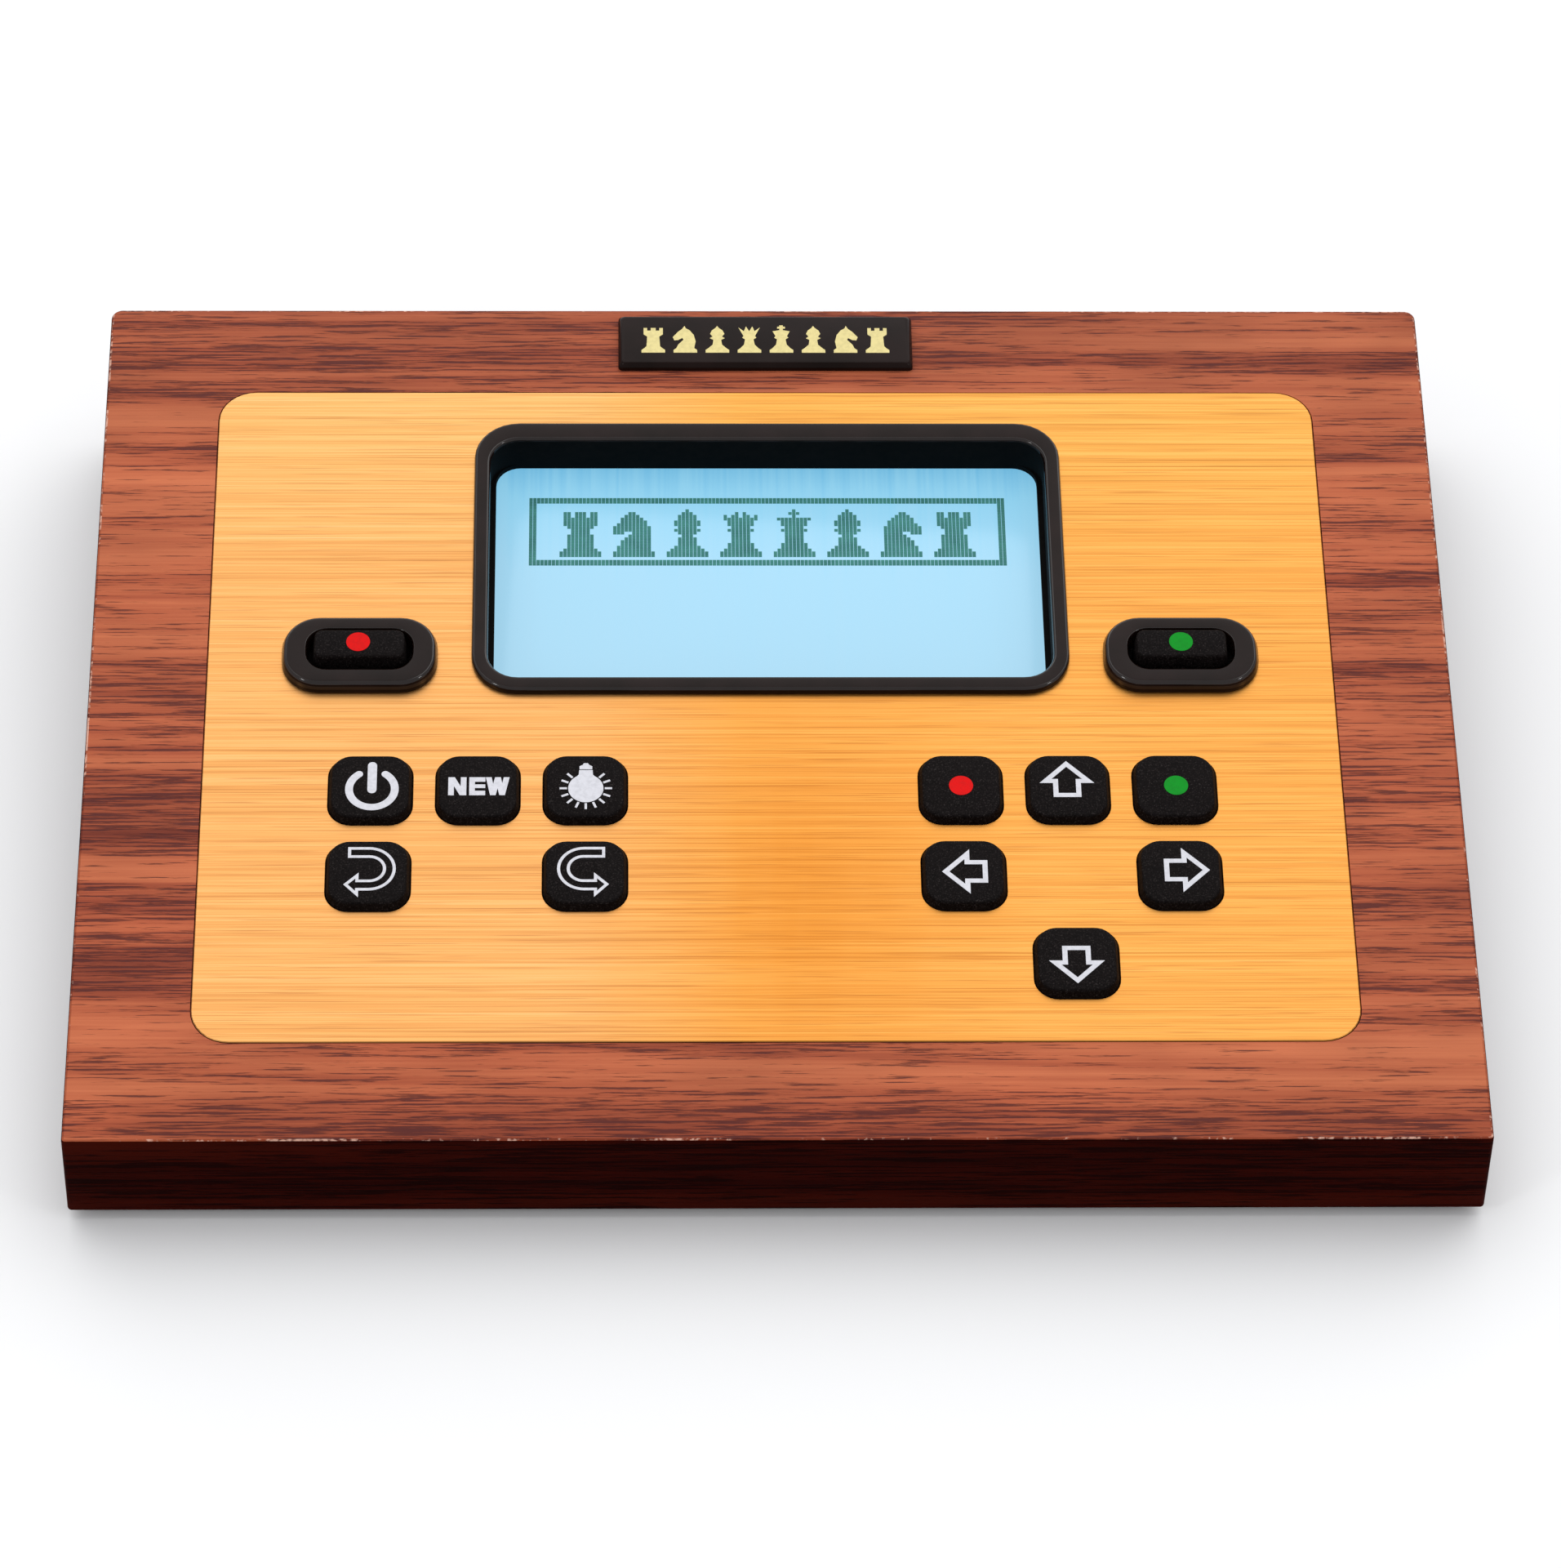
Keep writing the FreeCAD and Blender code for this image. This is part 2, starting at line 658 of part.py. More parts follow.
def make_display_bezel():
    """A thick ring on the faceplate whose neck makes the well down to the display glass."""
    body = new_body("display_bezel", on_panel=True)
    plate_top = "plate_thickness - plate_recess"
    ring = sketch_on(body, "XY_Plane", plate_top)
    rounded_rectangle(ring, "bezel_width", "bezel_depth", "bezel_radius", 0, "bezel_centre")
    pad(body, ring, "bezel_top - (%s)" % plate_top)
    neck = sketch_on(body, "XY_Plane", plate_top)
    rounded_rectangle(neck, "neck_width", "neck_depth", "neck_radius", 0, "bezel_centre")
    pad(body, neck, "board_thickness + %s" % plate_top, backwards=True)
    well = sketch_on(body, "XY_Plane", "bezel_top")
    rounded_rectangle(well, "window_width", "window_depth", "window_radius", 0, "window_centre")
    pocket(body, well, "bezel_top + board_thickness - lip_height")
    lip = sketch_on(body, "XY_Plane", "lip_height - board_thickness")
    rounded_rectangle(lip, "lip_width", "window_depth", "lip_radius", 0, "window_centre")
    pocket(body, lip)
    round_edges(body, "bezel_top", "bezel_edge")


def make_key_collar(name, side):
    """The raised oval collar round a long key."""
    body = new_body(name + "_key_collar", on_panel=True)
    x, y = side_key_place(side)
    plate_top = "plate_thickness - plate_recess"
    ring = sketch_on(body, "XY_Plane", plate_top)
    stadium(ring, "collar_length", "collar_width", x, y)
    pad(body, ring, "collar_top - (%s)" % plate_top)
    round_edges(body, "collar_top", "collar_edge")
    neck = sketch_on(body, "XY_Plane", plate_top)
    stadium(neck, "collar_neck_length", "collar_neck_width", x, y)
    pad(body, neck, "plate_thickness + fit_gap", backwards=True)
    opening = sketch_on(body, "XY_Plane", CUT_CLEAR)
    stadium(opening, "collar_opening_length", "collar_opening_width", x, y)
    pocket(body, opening)


def make_nameplate():
    """A bevelled black plate on the wood, behind the faceplate."""
    body = new_body("nameplate", on_panel=True)
    outline = sketch_on(body, "XY_Plane")
    rectangle(outline, "nameplate_width", "nameplate_depth", 0, "nameplate_centre")
    pad(body, outline, "nameplate_height")
    bevel_edges(body, "nameplate_height", "nameplate_bevel")


# Keys, their carbon pills, mats and boards

def make_square_key(name, place):
    """A silicone key: a cap with round corners on a wider flange."""
    body = new_body(name, on_panel=True)
    flange = sketch_on(body, "XY_Plane", "-key_bottom")
    rounded_rectangle(flange, "flange_size", "flange_size", "key_radius", *place)
    pad(body, flange, "key_bottom - flange_top")
    cap = sketch_on(body, "XY_Plane", "-flange_top")
    rounded_rectangle(cap, "key_size", "key_size", "key_radius", *place)
    pad(body, cap, "flange_top + key_top")
    round_edges(body, "key_top", "key_edge")


def make_long_key(name, place):
    """A long silicone key that stands up through its collar."""
    body = new_body(name, on_panel=True)
    flange = sketch_on(body, "XY_Plane", "-key_bottom")
    stadium(flange, "side_flange_length", "side_flange_width", *place)
    pad(body, flange, "key_bottom - side_flange_top")
    cap = sketch_on(body, "XY_Plane", "-side_flange_top")
    stadium(cap, "side_key_length", "side_key_width", *place)
    pad(body, cap, "side_flange_top + side_key_top")
    round_edges(body, "side_key_top", "key_edge")


def make_pill(name, place):
    """The carbon pill under a key that closes the contact on the key board."""
    body = new_body(name + "_pill", on_panel=True)
    disc = sketch_on(body, "XY_Plane", "-key_bottom")
    circles(disc, "pill_diameter", [place])
    pad(body, disc, "pill_height", backwards=True)


def make_keys():
    """Every key with its pill."""
    for name, side, column, row in SQUARE_KEYS:
        place = key_place(side, column, row)
        make_square_key(name, place)
        make_pill(name, place)
    for name, side in SIDES:
        place = side_key_place(side)
        make_long_key(name + "_long_key", place)
        make_pill(name + "_long_key", place)


def make_key_mat(name, side):
    """The silicone sheet that the keys of one side rise from, open under each key."""
    body = new_body(name + "_key_mat", on_panel=True)
    for width, depth, x, y in key_field(name, side, "mat_gap"):
        sheet = sketch_on(body, "XY_Plane", "-board_thickness")
        rounded_rectangle(sheet, width, depth, "key_radius - mat_gap", x, y)
        pad(body, sheet, "mat_thickness")
    for key, key_side, column, row in SQUARE_KEYS:
        if key_side == side:
            x, y = key_place(side, column, row)
            hole = sketch_on(body, "XY_Plane", CUT_CLEAR)
            rounded_rectangle(hole, "mat_hole", "mat_hole", "key_radius", x, y)
            pocket(body, hole)
    x, y = side_key_place(side)
    slot = sketch_on(body, "XY_Plane", CUT_CLEAR)
    stadium(slot, "side_key_length", "side_key_width + fit_gap", x, y)
    pocket(body, slot)


def key_board_holes(name, side):
    """Places of the screws that hold one key board up against the wood."""
    depth = name + "_field_depth"
    inset = "(field_width / 2 + key_board_lap / 2)"
    near = "(-field_top - %s - key_board_lap / 2)" % depth
    far = "(-field_top - key_board_far_screw)"
    inner = "%d * (cluster_offset - %s)" % (side, inset)
    outer = "%d * (cluster_offset + %s)" % (side, inset)
    return [(inner, near), (outer, near), (inner, far), (outer, far)]


def make_key_board(name, side):
    """The circuit board under one key mat."""
    body = new_body(name + "_key_board", on_panel=True)
    depth = name + "_field_depth"
    lower = sketch_on(body, "XY_Plane", "-board_thickness")
    rectangle(lower, "field_width + 2 * key_board_lap", depth + " + key_board_lap + 4",
              "%d * cluster_offset" % side,
              "-field_top - (%s) / 2 - key_board_lap / 2 + 2" % depth)
    pad(body, lower, "board_sheet", backwards=True)
    upper = sketch_on(body, "XY_Plane", "-board_thickness")
    upper_depth = "(side_field_top + field_top + 5)"
    rectangle(upper, "side_field_width + 2", upper_depth,
              "%d * (side_key_offset + 2)" % side, "side_field_top + 3 - %s / 2" % upper_depth)
    pad(body, upper, "board_sheet", backwards=True)
    holes = sketch_on(body, "XY_Plane", CUT_CLEAR)
    circles(holes, "board_screw_diameter + fit_gap", key_board_holes(name, side))
    pocket(body, holes)


# Display module under the well

def make_display_module():
    """Glass, steel frame, light guide and board, one under the other."""
    glass = new_body("lcd_glass", on_panel=True)
    pane = sketch_on(glass, "XY_Plane", "-board_thickness")
    rectangle(pane, "glass_width", "glass_depth", 0, "bezel_centre")
    pad(glass, pane, "glass_thickness", backwards=True)
    guide = new_body("lcd_backlight", on_panel=True)
    slab = sketch_on(guide, "XY_Plane", "-board_thickness - glass_thickness")
    rectangle(slab, "glass_width", "glass_depth", 0, "bezel_centre")
    pad(guide, slab, "lcd_stack - glass_thickness", backwards=True)
    frame = new_body("lcd_frame", on_panel=True)
    ring = sketch_on(frame, "XY_Plane", "-board_thickness")
    rectangle(ring, "lcd_frame_width", "lcd_frame_depth", 0, "bezel_centre")
    rectangle(ring, "glass_width + 2 * fit_gap", "glass_depth + 2 * fit_gap", 0, "bezel_centre")
    pad(frame, ring, "lcd_stack", backwards=True)
    board = new_body("lcd_board", on_panel=True)
    sheet = sketch_on(board, "XY_Plane", "-board_thickness - lcd_stack")
    rectangle(sheet, "lcd_board_width", "lcd_board_depth", 0, "bezel_centre")
    pad(board, sheet, "board_sheet", backwards=True)
    holes = sketch_on(board, "XY_Plane", CUT_CLEAR)
    circles(holes, "board_screw_diameter + fit_gap", lcd_screw_places())
    pocket(board, holes)


def lcd_screw_places():
    """Places of the screws that carry the display module."""
    x = "(lcd_board_width / 2 - lcd_screw_inset)"
    y = "(lcd_board_depth / 2 - 5)"
    return [(place_x, "bezel_centre + " + place_y) for place_x, place_y in four_corners(x, y)]


def make_lcd_spacers():
    """Tubes that keep the display's board off the wood."""
    body = new_body("lcd_spacers", on_panel=True)
    tubes = sketch_on(body, "XY_Plane", "-board_thickness")
    circles(tubes, "board_screw_head", lcd_screw_places())
    circles(tubes, "board_screw_diameter + fit_gap", lcd_screw_places())
    pad(body, tubes, "lcd_stack", backwards=True)


def make_panel_screws():
    """Pan-head screws up through the key boards and the display's board into the wood."""
    body = new_body("panel_screws", on_panel=True)
    key_level = "-board_thickness - board_sheet"
    lcd_level = "-board_thickness - lcd_stack - board_sheet"
    key_places = key_board_holes("left", -1) + key_board_holes("right", 1)
    wood_reach = "board_screw_length - board_sheet"
    groups = [(key_places, key_level, "board_sheet"),
              (lcd_screw_places(), lcd_level, "lcd_stack + board_sheet")]
    for places, level, clamped in groups:
        shanks = sketch_on(body, "XY_Plane", level)
        circles(shanks, "board_screw_diameter", places)
        pad(body, shanks, "%s + %s" % (clamped, wood_reach))
        heads = sketch_on(body, "XY_Plane", level)
        circles(heads, "board_screw_head", places)
        pad(body, heads, "board_screw_head_height", backwards=True)
        slots = sketch_on(body, "XY_Plane", "%s - board_screw_head_height" % level)
        for x, y in places:
            rectangle(slots, "board_screw_head + 1", "slot_width", x, y)
        pocket(body, slots, "slot_width", backwards=True)


# Electronics on the main board

def make_main_board():
    """The board behind the display that carries the processor and both sockets."""
    body = new_body("main_board")
    outline = sketch_on(body, "XY_Plane", MAIN_BOARD_BOTTOM)
    rectangle(outline, "main_board_width", "main_board_depth", 0, "main_board_centre")
    pad(body, outline, "board_sheet")
    holes = sketch_on(body, "XY_Plane", CUT_CLEAR)
    circles(holes, "board_screw_diameter + fit_gap", main_board_screw_places())
    pocket(body, holes)


def main_board_screw_places():
    """Places of the posts and screws under the main board."""
    x = "(main_board_width / 2 - 4)"
    y = "(main_board_depth / 2 - 4)"
    return [(place_x, "main_board_centre + " + place_y) for place_x, place_y in four_corners(x, y)]


def make_main_board_screws():
    """Pan-head screws down through the main board into the base cover's posts."""
    body = new_body("main_board_screws")
    shanks = sketch_on(body, "XY_Plane", MAIN_BOARD_TOP)
    circles(shanks, "board_screw_diameter", main_board_screw_places())
    pad(body, shanks, "board_sheet + post_height", backwards=True)
    heads = sketch_on(body, "XY_Plane", MAIN_BOARD_TOP)
    circles(heads, "board_screw_head", main_board_screw_places())
    pad(body, heads, "board_screw_head_height")
    slots = sketch_on(body, "XY_Plane", "%s + board_screw_head_height" % MAIN_BOARD_TOP)
    for x, y in main_board_screw_places():
        rectangle(slots, "board_screw_head + 1", "slot_width", x, y)
    pocket(body, slots, "slot_width")


def make_chips():
    """Processor and two memory chips, flat on the main board."""
    processor_size = "processor_size"
    memory_size = ("memory_width", "memory_depth", "chip_height")
    front = "main_board_centre"
    processor = plain_box("processor_chip", (processor_size, processor_size, "chip_height"),
                          ("-%s / 2" % processor_size, front, MAIN_BOARD_TOP))
    memory = DOC.addObject("Part::Compound", "memory_chips")
    memory.Label = "memory_chips"
    left_edge = "-memory_offset - memory_width"
    left = plain_box("left_memory_chip", memory_size, (left_edge, front, MAIN_BOARD_TOP))
    right = plain_box("right_memory_chip", memory_size, ("memory_offset", front, MAIN_BOARD_TOP))
    memory.Links = [left, right]
    NODES.extend([processor, memory])


def make_capacitors():
    """Two round capacitors beside the power socket."""
    body = new_body("power_capacitors")
    cans = sketch_on(body, "XY_Plane", MAIN_BOARD_TOP)
    x = "main_board_width / 2 - capacitor_inset"
    places = [(x, "main_board_centre"), (x, "main_board_centre - capacitor_pitch")]
    circles(cans, "capacitor_diameter", places)
    pad(body, cans, "capacitor_height")
    round_edges(body, "%s + capacitor_height" % MAIN_BOARD_TOP, "key_edge")


def make_buzzer():
    """The round buzzer with its sound hole."""
    body = new_body("buzzer")
    can = sketch_on(body, "XY_Plane", MAIN_BOARD_TOP)
    circles(can, "buzzer_diameter", [BUZZER_PLACE])
    pad(body, can, "buzzer_height")
    hole = sketch_on(body, "XY_Plane", "%s + buzzer_height" % MAIN_BOARD_TOP)
    circles(hole, "buzzer_hole", [BUZZER_PLACE])
    pocket(body, hole, "buzzer_hole")


def socket_body(label, kind):
    """A socket's block behind the rear rail, with the round nose that fills the drilled hole."""
    body = new_body(label)
    wall_face = "case_depth / 2 - socket_wall"
    middle = "%s + socket_height / 2" % MAIN_BOARD_TOP
    place = (kind + "_offset", middle)
    block = sketch_on(body, "XZ_Plane", wall_face)
    rectangle(block, kind + "_width", "socket_height", *place)
    pad(body, block, kind + "_length")
    nose = sketch_on(body, "XZ_Plane", wall_face)
    circles(nose, kind + "_nose", [place])
    pad(body, nose, "socket_wall - fit_gap", backwards=True)
    return body, place


def make_power_socket():
    """The barrel socket for the mains adapter, with its centre pin."""
    body, place = socket_body("power_socket", "power")
    mouth = "case_depth / 2 - fit_gap"
    barrel = sketch_on(body, "XZ_Plane", mouth)
    circles(barrel, "power_hole", [place])
    pocket(body, barrel, "power_reach", backwards=True)
    pin = sketch_on(body, "XZ_Plane", mouth + " - power_reach")
    circles(pin, "power_pin", [place])
    pad(body, pin, "power_reach - 1", backwards=True)


def make_link_socket():
    """The round six-hole socket for the cable to a sensor board."""
    body, place = socket_body("board_link_socket", "link")
    x, y = place
    mouth = "case_depth / 2 - fit_gap"
    groove = sketch_on(body, "XZ_Plane", mouth)
    circles(groove, "link_groove", [place])
    circles(groove, "link_core", [place])
    pocket(body, groove, "link_reach", backwards=True)
    pins = sketch_on(body, "XZ_Plane", mouth)
    places = []
    for index in range(6):
        angle = "(%d * 45 - 22.5) * 1 deg" % index
        places.append(("%s + link_pin_circle / 2 * cos(%s)" % (x, angle),
                       "%s + link_pin_circle / 2 * sin(%s)" % (y, angle)))
    circles(pins, "link_pin_hole", places)
    pocket(body, pins, "link_reach - 1", backwards=True)
    key_slot = sketch_on(body, "XZ_Plane", mouth)
    rectangle(key_slot, "power_pin", "link_pin_hole", x, "%s - link_core / 4" % y)
    pocket(body, key_slot, "link_reach - 1", backwards=True)


# Flat cables from the main board to the boards above it

def ribbon_outline(start_y, end_y, end_level):
    """Side view of a flat cable: up from the main board, back over and up to a board."""
    low = MAIN_BOARD_TOP
    top = "(%s) + %s * tan(slope_angle * 1 deg) - (%s) / cos(slope_angle * 1 deg)" % (
        PANEL_HEIGHT, end_y, end_level)
    bend = "((%s) + 0.5 * ((%s) - (%s)))" % (low, top, low)
    near_y = "%s + ribbon_sheet" % start_y
    far_y = "%s + ribbon_sheet" % end_y
    over_bend = "%s + ribbon_sheet" % bend
    return [(start_y, low), (near_y, low), (near_y, over_bend), (far_y, over_bend),
            (far_y, top), (end_y, top), (end_y, bend), (start_y, bend)]


def make_ribbons():
    """One flat cable for each key board and one for the display."""
    key_level = "(board_thickness + board_sheet)"
    display_level = "(board_thickness + lcd_stack + board_sheet)"
    left_start = "(ribbon_inset - main_board_width / 2)"
    right_start = "(main_board_width / 2 - ribbon_inset - key_ribbon_width)"
    ribbons = [
        ("key_ribbons", [left_start, right_start], "key_ribbon_width", "key_ribbon_start",
         "key_ribbon_end", key_level),
        ("lcd_ribbon", ["-lcd_ribbon_width / 2"], "lcd_ribbon_width", "lcd_ribbon_start",
         "lcd_ribbon_end", display_level),
    ]
    for label, side_starts, width, start_y, end_y, level in ribbons:
        body = new_body(label)
        for side_start in side_starts:
            sketch = sketch_on(body, "YZ_Plane", side_start)
            polygon(sketch, ribbon_outline(start_y, end_y, level))
            pad(body, sketch, width)


# Base

def base_screw_places():
    """The four base screws, under the corner blocks."""
    x = "(case_width / 2 - rail_thickness - block_size / 2)"
    y = "(case_depth / 2 - rail_thickness - block_size / 2)"
    return four_corners(x, y)


def make_base_cover():
    """The plastic cover that closes the case from below, with posts for the main board."""
    body = new_body("base_cover")
    outline = sketch_on(body, "XY_Plane", "foot_height")
    rectangle(outline, "case_width - 2 * rail_thickness - 2 * cover_gap",
              "case_depth - 2 * rail_thickness - 2 * cover_gap")
    pad(body, outline, "cover_thickness")
    posts = sketch_on(body, "XY_Plane", COVER_TOP)
    circles(posts, "post_diameter", main_board_screw_places())
    pad(body, posts, "post_height")
    post_holes = sketch_on(body, "XY_Plane", MAIN_BOARD_BOTTOM)
    circles(post_holes, "board_screw_diameter + 0.05", main_board_screw_places())
    pocket(body, post_holes, "post_height + 0.2")
    screw_holes = sketch_on(body, "XY_Plane", COVER_TOP)
    circles(screw_holes, "base_screw_diameter + fit_gap", base_screw_places())
    pocket(body, screw_holes)
    countersinks = sketch_on(body, "XY_Plane", "foot_height")
    circles(countersinks, "base_screw_head + fit_gap", base_screw_places())
    pocket(body, countersinks, "base_screw_head / 4", backwards=True, taper=-45)
    slots = sketch_on(body, "XY_Plane", COVER_TOP)
    x, y = BUZZER_PLACE
    for index in range(5):
        slot_y = "%s + %d * sound_slot_pitch" % (y, index - 2)
        rectangle(slots, "buzzer_diameter", "sound_slot_width", x, slot_y)
    pocket(body, slots)


def make_base_screws():
    """Countersunk cross-head screws up through the base cover into the corner blocks."""
    body = new_body("base_screws")
    places = base_screw_places()
    heads = sketch_on(body, "XY_Plane", "foot_height + 0.05")
    circles(heads, "base_screw_head", places)
    pad(body, heads, "base_screw_head / 4", taper=-45)
    shanks = sketch_on(body, "XY_Plane", "foot_height + 0.05")
    circles(shanks, "base_screw_diameter", places)
    pad(body, shanks, "base_screw_length")
    for width, depth in (("base_screw_head / 2", "slot_width"), ("slot_width", "base_screw_head / 2")):
        cross = sketch_on(body, "XY_Plane", "foot_height + 0.05")
        for x, y in places:
            rectangle(cross, width, depth, x, y)
        pocket(body, cross, "1", backwards=True)


def make_rubber_feet():
    """Four round feet stuck under the base cover."""
    body = new_body("rubber_feet")
    discs = sketch_on(body, "XY_Plane")
    x = "(case_width / 2 - foot_inset - block_size)"
    y = "(case_depth / 2 - foot_inset - block_size)"
    circles(discs, "foot_diameter", four_corners(x, y))
    pad(body, discs, "foot_height")


# Whole model

def build():
    """Make every sub-part."""
    fill_sheet()
    make_top_board()
    make_rails()
    make_corner_blocks()
    make_faceplate()
    make_display_bezel()
    make_display_module()
    make_lcd_spacers()
    make_nameplate()
    make_keys()
    for name, side in SIDES:
        make_key_collar(name, side)
        make_key_mat(name, side)
        make_key_board(name, side)
    make_panel_screws()
    make_main_board()
    make_main_board_screws()
    make_chips()
    make_capacitors()
    make_buzzer()
    make_power_socket()
    make_link_socket()
    make_ribbons()
    make_base_cover()
    make_base_screws()
    make_rubber_feet()
    DOC.recompute()


def check():
    """Stop before anything is written if an object failed or a shape is not sound."""
    for item in DOC.Objects:
        if "Invalid" in item.State or "Error" in item.State:
            raise RuntimeError("%s did not compute: %s" % (item.Label, item.State))
    for node in NODES:
        if node.Shape.isNull() or not node.Shape.isValid() or not node.Shape.Solids:
            raise RuntimeError("%s has no sound shape" % node.Label)


def export():
    """Write one STEP file for each sub-part."""
    os.makedirs("parts", exist_ok=True)
    for node in NODES:
        node.Shape.exportStep("parts/%s.step" % node.Label)


build()
check()
export()
for exported in NODES:
    box = exported.Shape.BoundBox
    print("%-22s %2d solids %9.1f mm3  X %6.1f %6.1f  Y %6.1f %6.1f  Z %5.1f %5.1f" % (
        exported.Label, len(exported.Shape.Solids), exported.Shape.Volume, box.XMin, box.XMax,
        box.YMin, box.YMax, box.ZMin, box.ZMax))
print(len(NODES), "sub-parts")
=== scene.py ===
import json
import math

import bmesh
import bpy
from mathutils import Matrix, Vector


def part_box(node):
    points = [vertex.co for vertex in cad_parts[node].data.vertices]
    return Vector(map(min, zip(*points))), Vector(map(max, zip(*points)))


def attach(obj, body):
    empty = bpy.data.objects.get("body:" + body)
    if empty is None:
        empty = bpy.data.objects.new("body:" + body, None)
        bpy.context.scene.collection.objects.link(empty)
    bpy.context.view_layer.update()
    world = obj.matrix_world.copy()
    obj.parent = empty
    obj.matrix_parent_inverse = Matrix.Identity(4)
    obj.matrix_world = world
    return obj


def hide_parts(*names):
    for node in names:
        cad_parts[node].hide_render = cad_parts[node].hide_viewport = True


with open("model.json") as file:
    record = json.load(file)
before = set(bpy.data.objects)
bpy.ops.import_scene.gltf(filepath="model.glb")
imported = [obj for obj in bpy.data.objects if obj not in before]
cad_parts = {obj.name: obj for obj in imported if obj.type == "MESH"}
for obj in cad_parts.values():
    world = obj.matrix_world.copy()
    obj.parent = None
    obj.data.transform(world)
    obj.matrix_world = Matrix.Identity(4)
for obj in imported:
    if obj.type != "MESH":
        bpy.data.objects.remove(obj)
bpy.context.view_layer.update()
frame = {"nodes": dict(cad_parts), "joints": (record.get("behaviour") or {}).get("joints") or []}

# The electronic chess computer's looks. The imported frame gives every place. Lengths here are
# millimetres, turned into metres by MM, and levels are heights out of the sloping panel. A shape
# in one line is a rectangle's width, its depth and the radius of its corners.
MM = 0.001

# Wooden case and faceplate
EDGE_ROUND = 0.36
BOARD_THICKNESS = 5.0
RAIL_THICKNESS = 8.0
REAR_CORNER = 1.5
FRONT_CORNER = 0.55
PLATE_RECESS = 0.9
PLATE_RADIUS = 5.0
PLATE_GAP = 0.13
PLATE_TOP = 0.1
PLATE_CHAMFER = 0.1
LEDGE_WIDTH = 3.0
LEDGE_RADIUS = 3.0
HOLE_GAP = 0.1

# Holes in the rear rail for the sockets' noses and the blocks behind them
SOCKET_HOLES = {"power_socket": 8.9, "board_link_socket": 10.8}
BLOCK_GAP = 0.3

# Display bezel
BEZEL = (79.3, 46.5, 6.0)
BEZEL_TOP = 1.2
BEZEL_EDGE = 0.6
WINDOW = (75.0, 41.1, 4.0)
WINDOW_SHIFT = -0.4
LIP = (73.6, 41.1, 3.3)
LIP_HEIGHT = 0.8
NECK = (77.0, 44.0, 4.8)

# Square keys
KEY = (10.8, 10.8, 3.0)
KEY_TOP = 1.3
KEY_EDGE = 0.4
KEY_TAPER = 0.6
KEY_STEP = 0.15
KEY_BOTTOM = -2.9
FLANGE = (12.6, 12.6, 3.0)
FLANGE_TOP = -1.2

# Long keys and collars
LONG_KEY = (12.5, 5.3, 1.4)
LONG_KEY_TOP = 3.0
LONG_FLANGE = (16.0, 8.8, 2.0)
LONG_FLANGE_TOP = -1.5
COLLAR = (20.6, 11.9, 5.0)
COLLAR_TOP = 1.9
COLLAR_EDGE = 0.75
COLLAR_RIM_TOP = 0.75
COLLAR_STEP = 0.4
COLLAR_OPENING = (14.1, 6.8, 2.8)
COLLAR_OPENING_SHIFT = 0.15
COLLAR_OPENING_EDGE = 0.25
COLLAR_NECK = (17.6, 9.6, 4.0)
COLLAR_NECK_BOTTOM = -1.1

# Nameplate: its bevel as inset, level and corner radius
NAMEPLATE_WIDTH = 40.4
NAMEPLATE_DEPTH = 9.4
NAMEPLATE_TOP = 1.2
NAMEPLATE_BEVEL = [(0.0, 0.0, 0.6), (0.0, 0.3, 0.6), (0.06, 0.55, 0.5), (0.45, 1.08, 0.5),
                   (0.55, 1.16, 0.5), (0.70, NAMEPLATE_TOP, 0.5)]
NAMEPLATE_FIGURE_HEIGHT = 4.9
NAMEPLATE_FIGURE_PITCH = 4.4

# Printing
PRINT_LIFT = 0.03
STROKE_LAYER = 0.0004
DOT_DIAMETER = 3.15
ARROW_STROKE = 0.66
TURN_STROKE = 0.40

# Display glass and its picture
GLASS = (78.0, 44.6, 0.4)
GLASS_FACE = (77.7, 44.3, 0.4)
GLASS_THICKNESS = 1.1
GLASS_EDGE = 0.15
DOT_PITCH_X = 0.517
DOT_PITCH_Y = 0.496
DOT_COVER = 0.88
PICTURE_COLUMNS = 125
PICTURE_ROWS = 24
PICTURE_CENTRE_Y = 33.95
FRAME_LINE = 2
FIGURE_ROWS = 17
FIGURE_PITCH = 14

# Feet: the outline of one from its top to the ring in its sole, as reach and level
FOOT_RADIUS = 6.0
FOOT_STEPS = 48
SOLE_OUTLINE = [(6.0, 0.6), (5.85, 0.22), (5.5, 0.0), (4.2, 0.0), (3.9, 0.25), (3.3, 0.25),
                (3.0, 0.0)]

# Studio: lamps as name, place, aim (metres), size (metres) and power (watts)
FLOOR_REACH = 6.0
FLOOR_DROP = 0.1
WORLD_COLOUR = (0.97, 0.98, 1.0, 1.0)
WORLD_STRENGTH = 0.56
LAMPS = [("overhead", (0.1, 0.9, 1.15), (0, 0.1, 0), 3.0, 33.5),
         ("left_spot", (-0.85, -0.65, 0.75), (0, 0, 0), 0.17, 1.35),
         ("right_spot", (0.90, -0.55, 0.70), (0, 0, 0), 0.15, 0.85)]
CAMERA_ELEVATION = 48.128
CAMERA_AZIMUTH = -1.994
CAMERA_ROLL = 1.441
CAMERA_TARGET = (0.983, -13.107, 19.642)
CAMERA_DISTANCE = 874.77
CAMERA_LENS = 153.77
CAMERA_SENSOR = 36.0

# Steps round each corner and over each rounded edge, and the angle at which an edge stays sharp
ARC_STEPS = 8
EDGE_STEPS = 4
SHARP_ANGLE = 40


# The panel's own frame: X to the right, Y up the slope, Z out of the panel

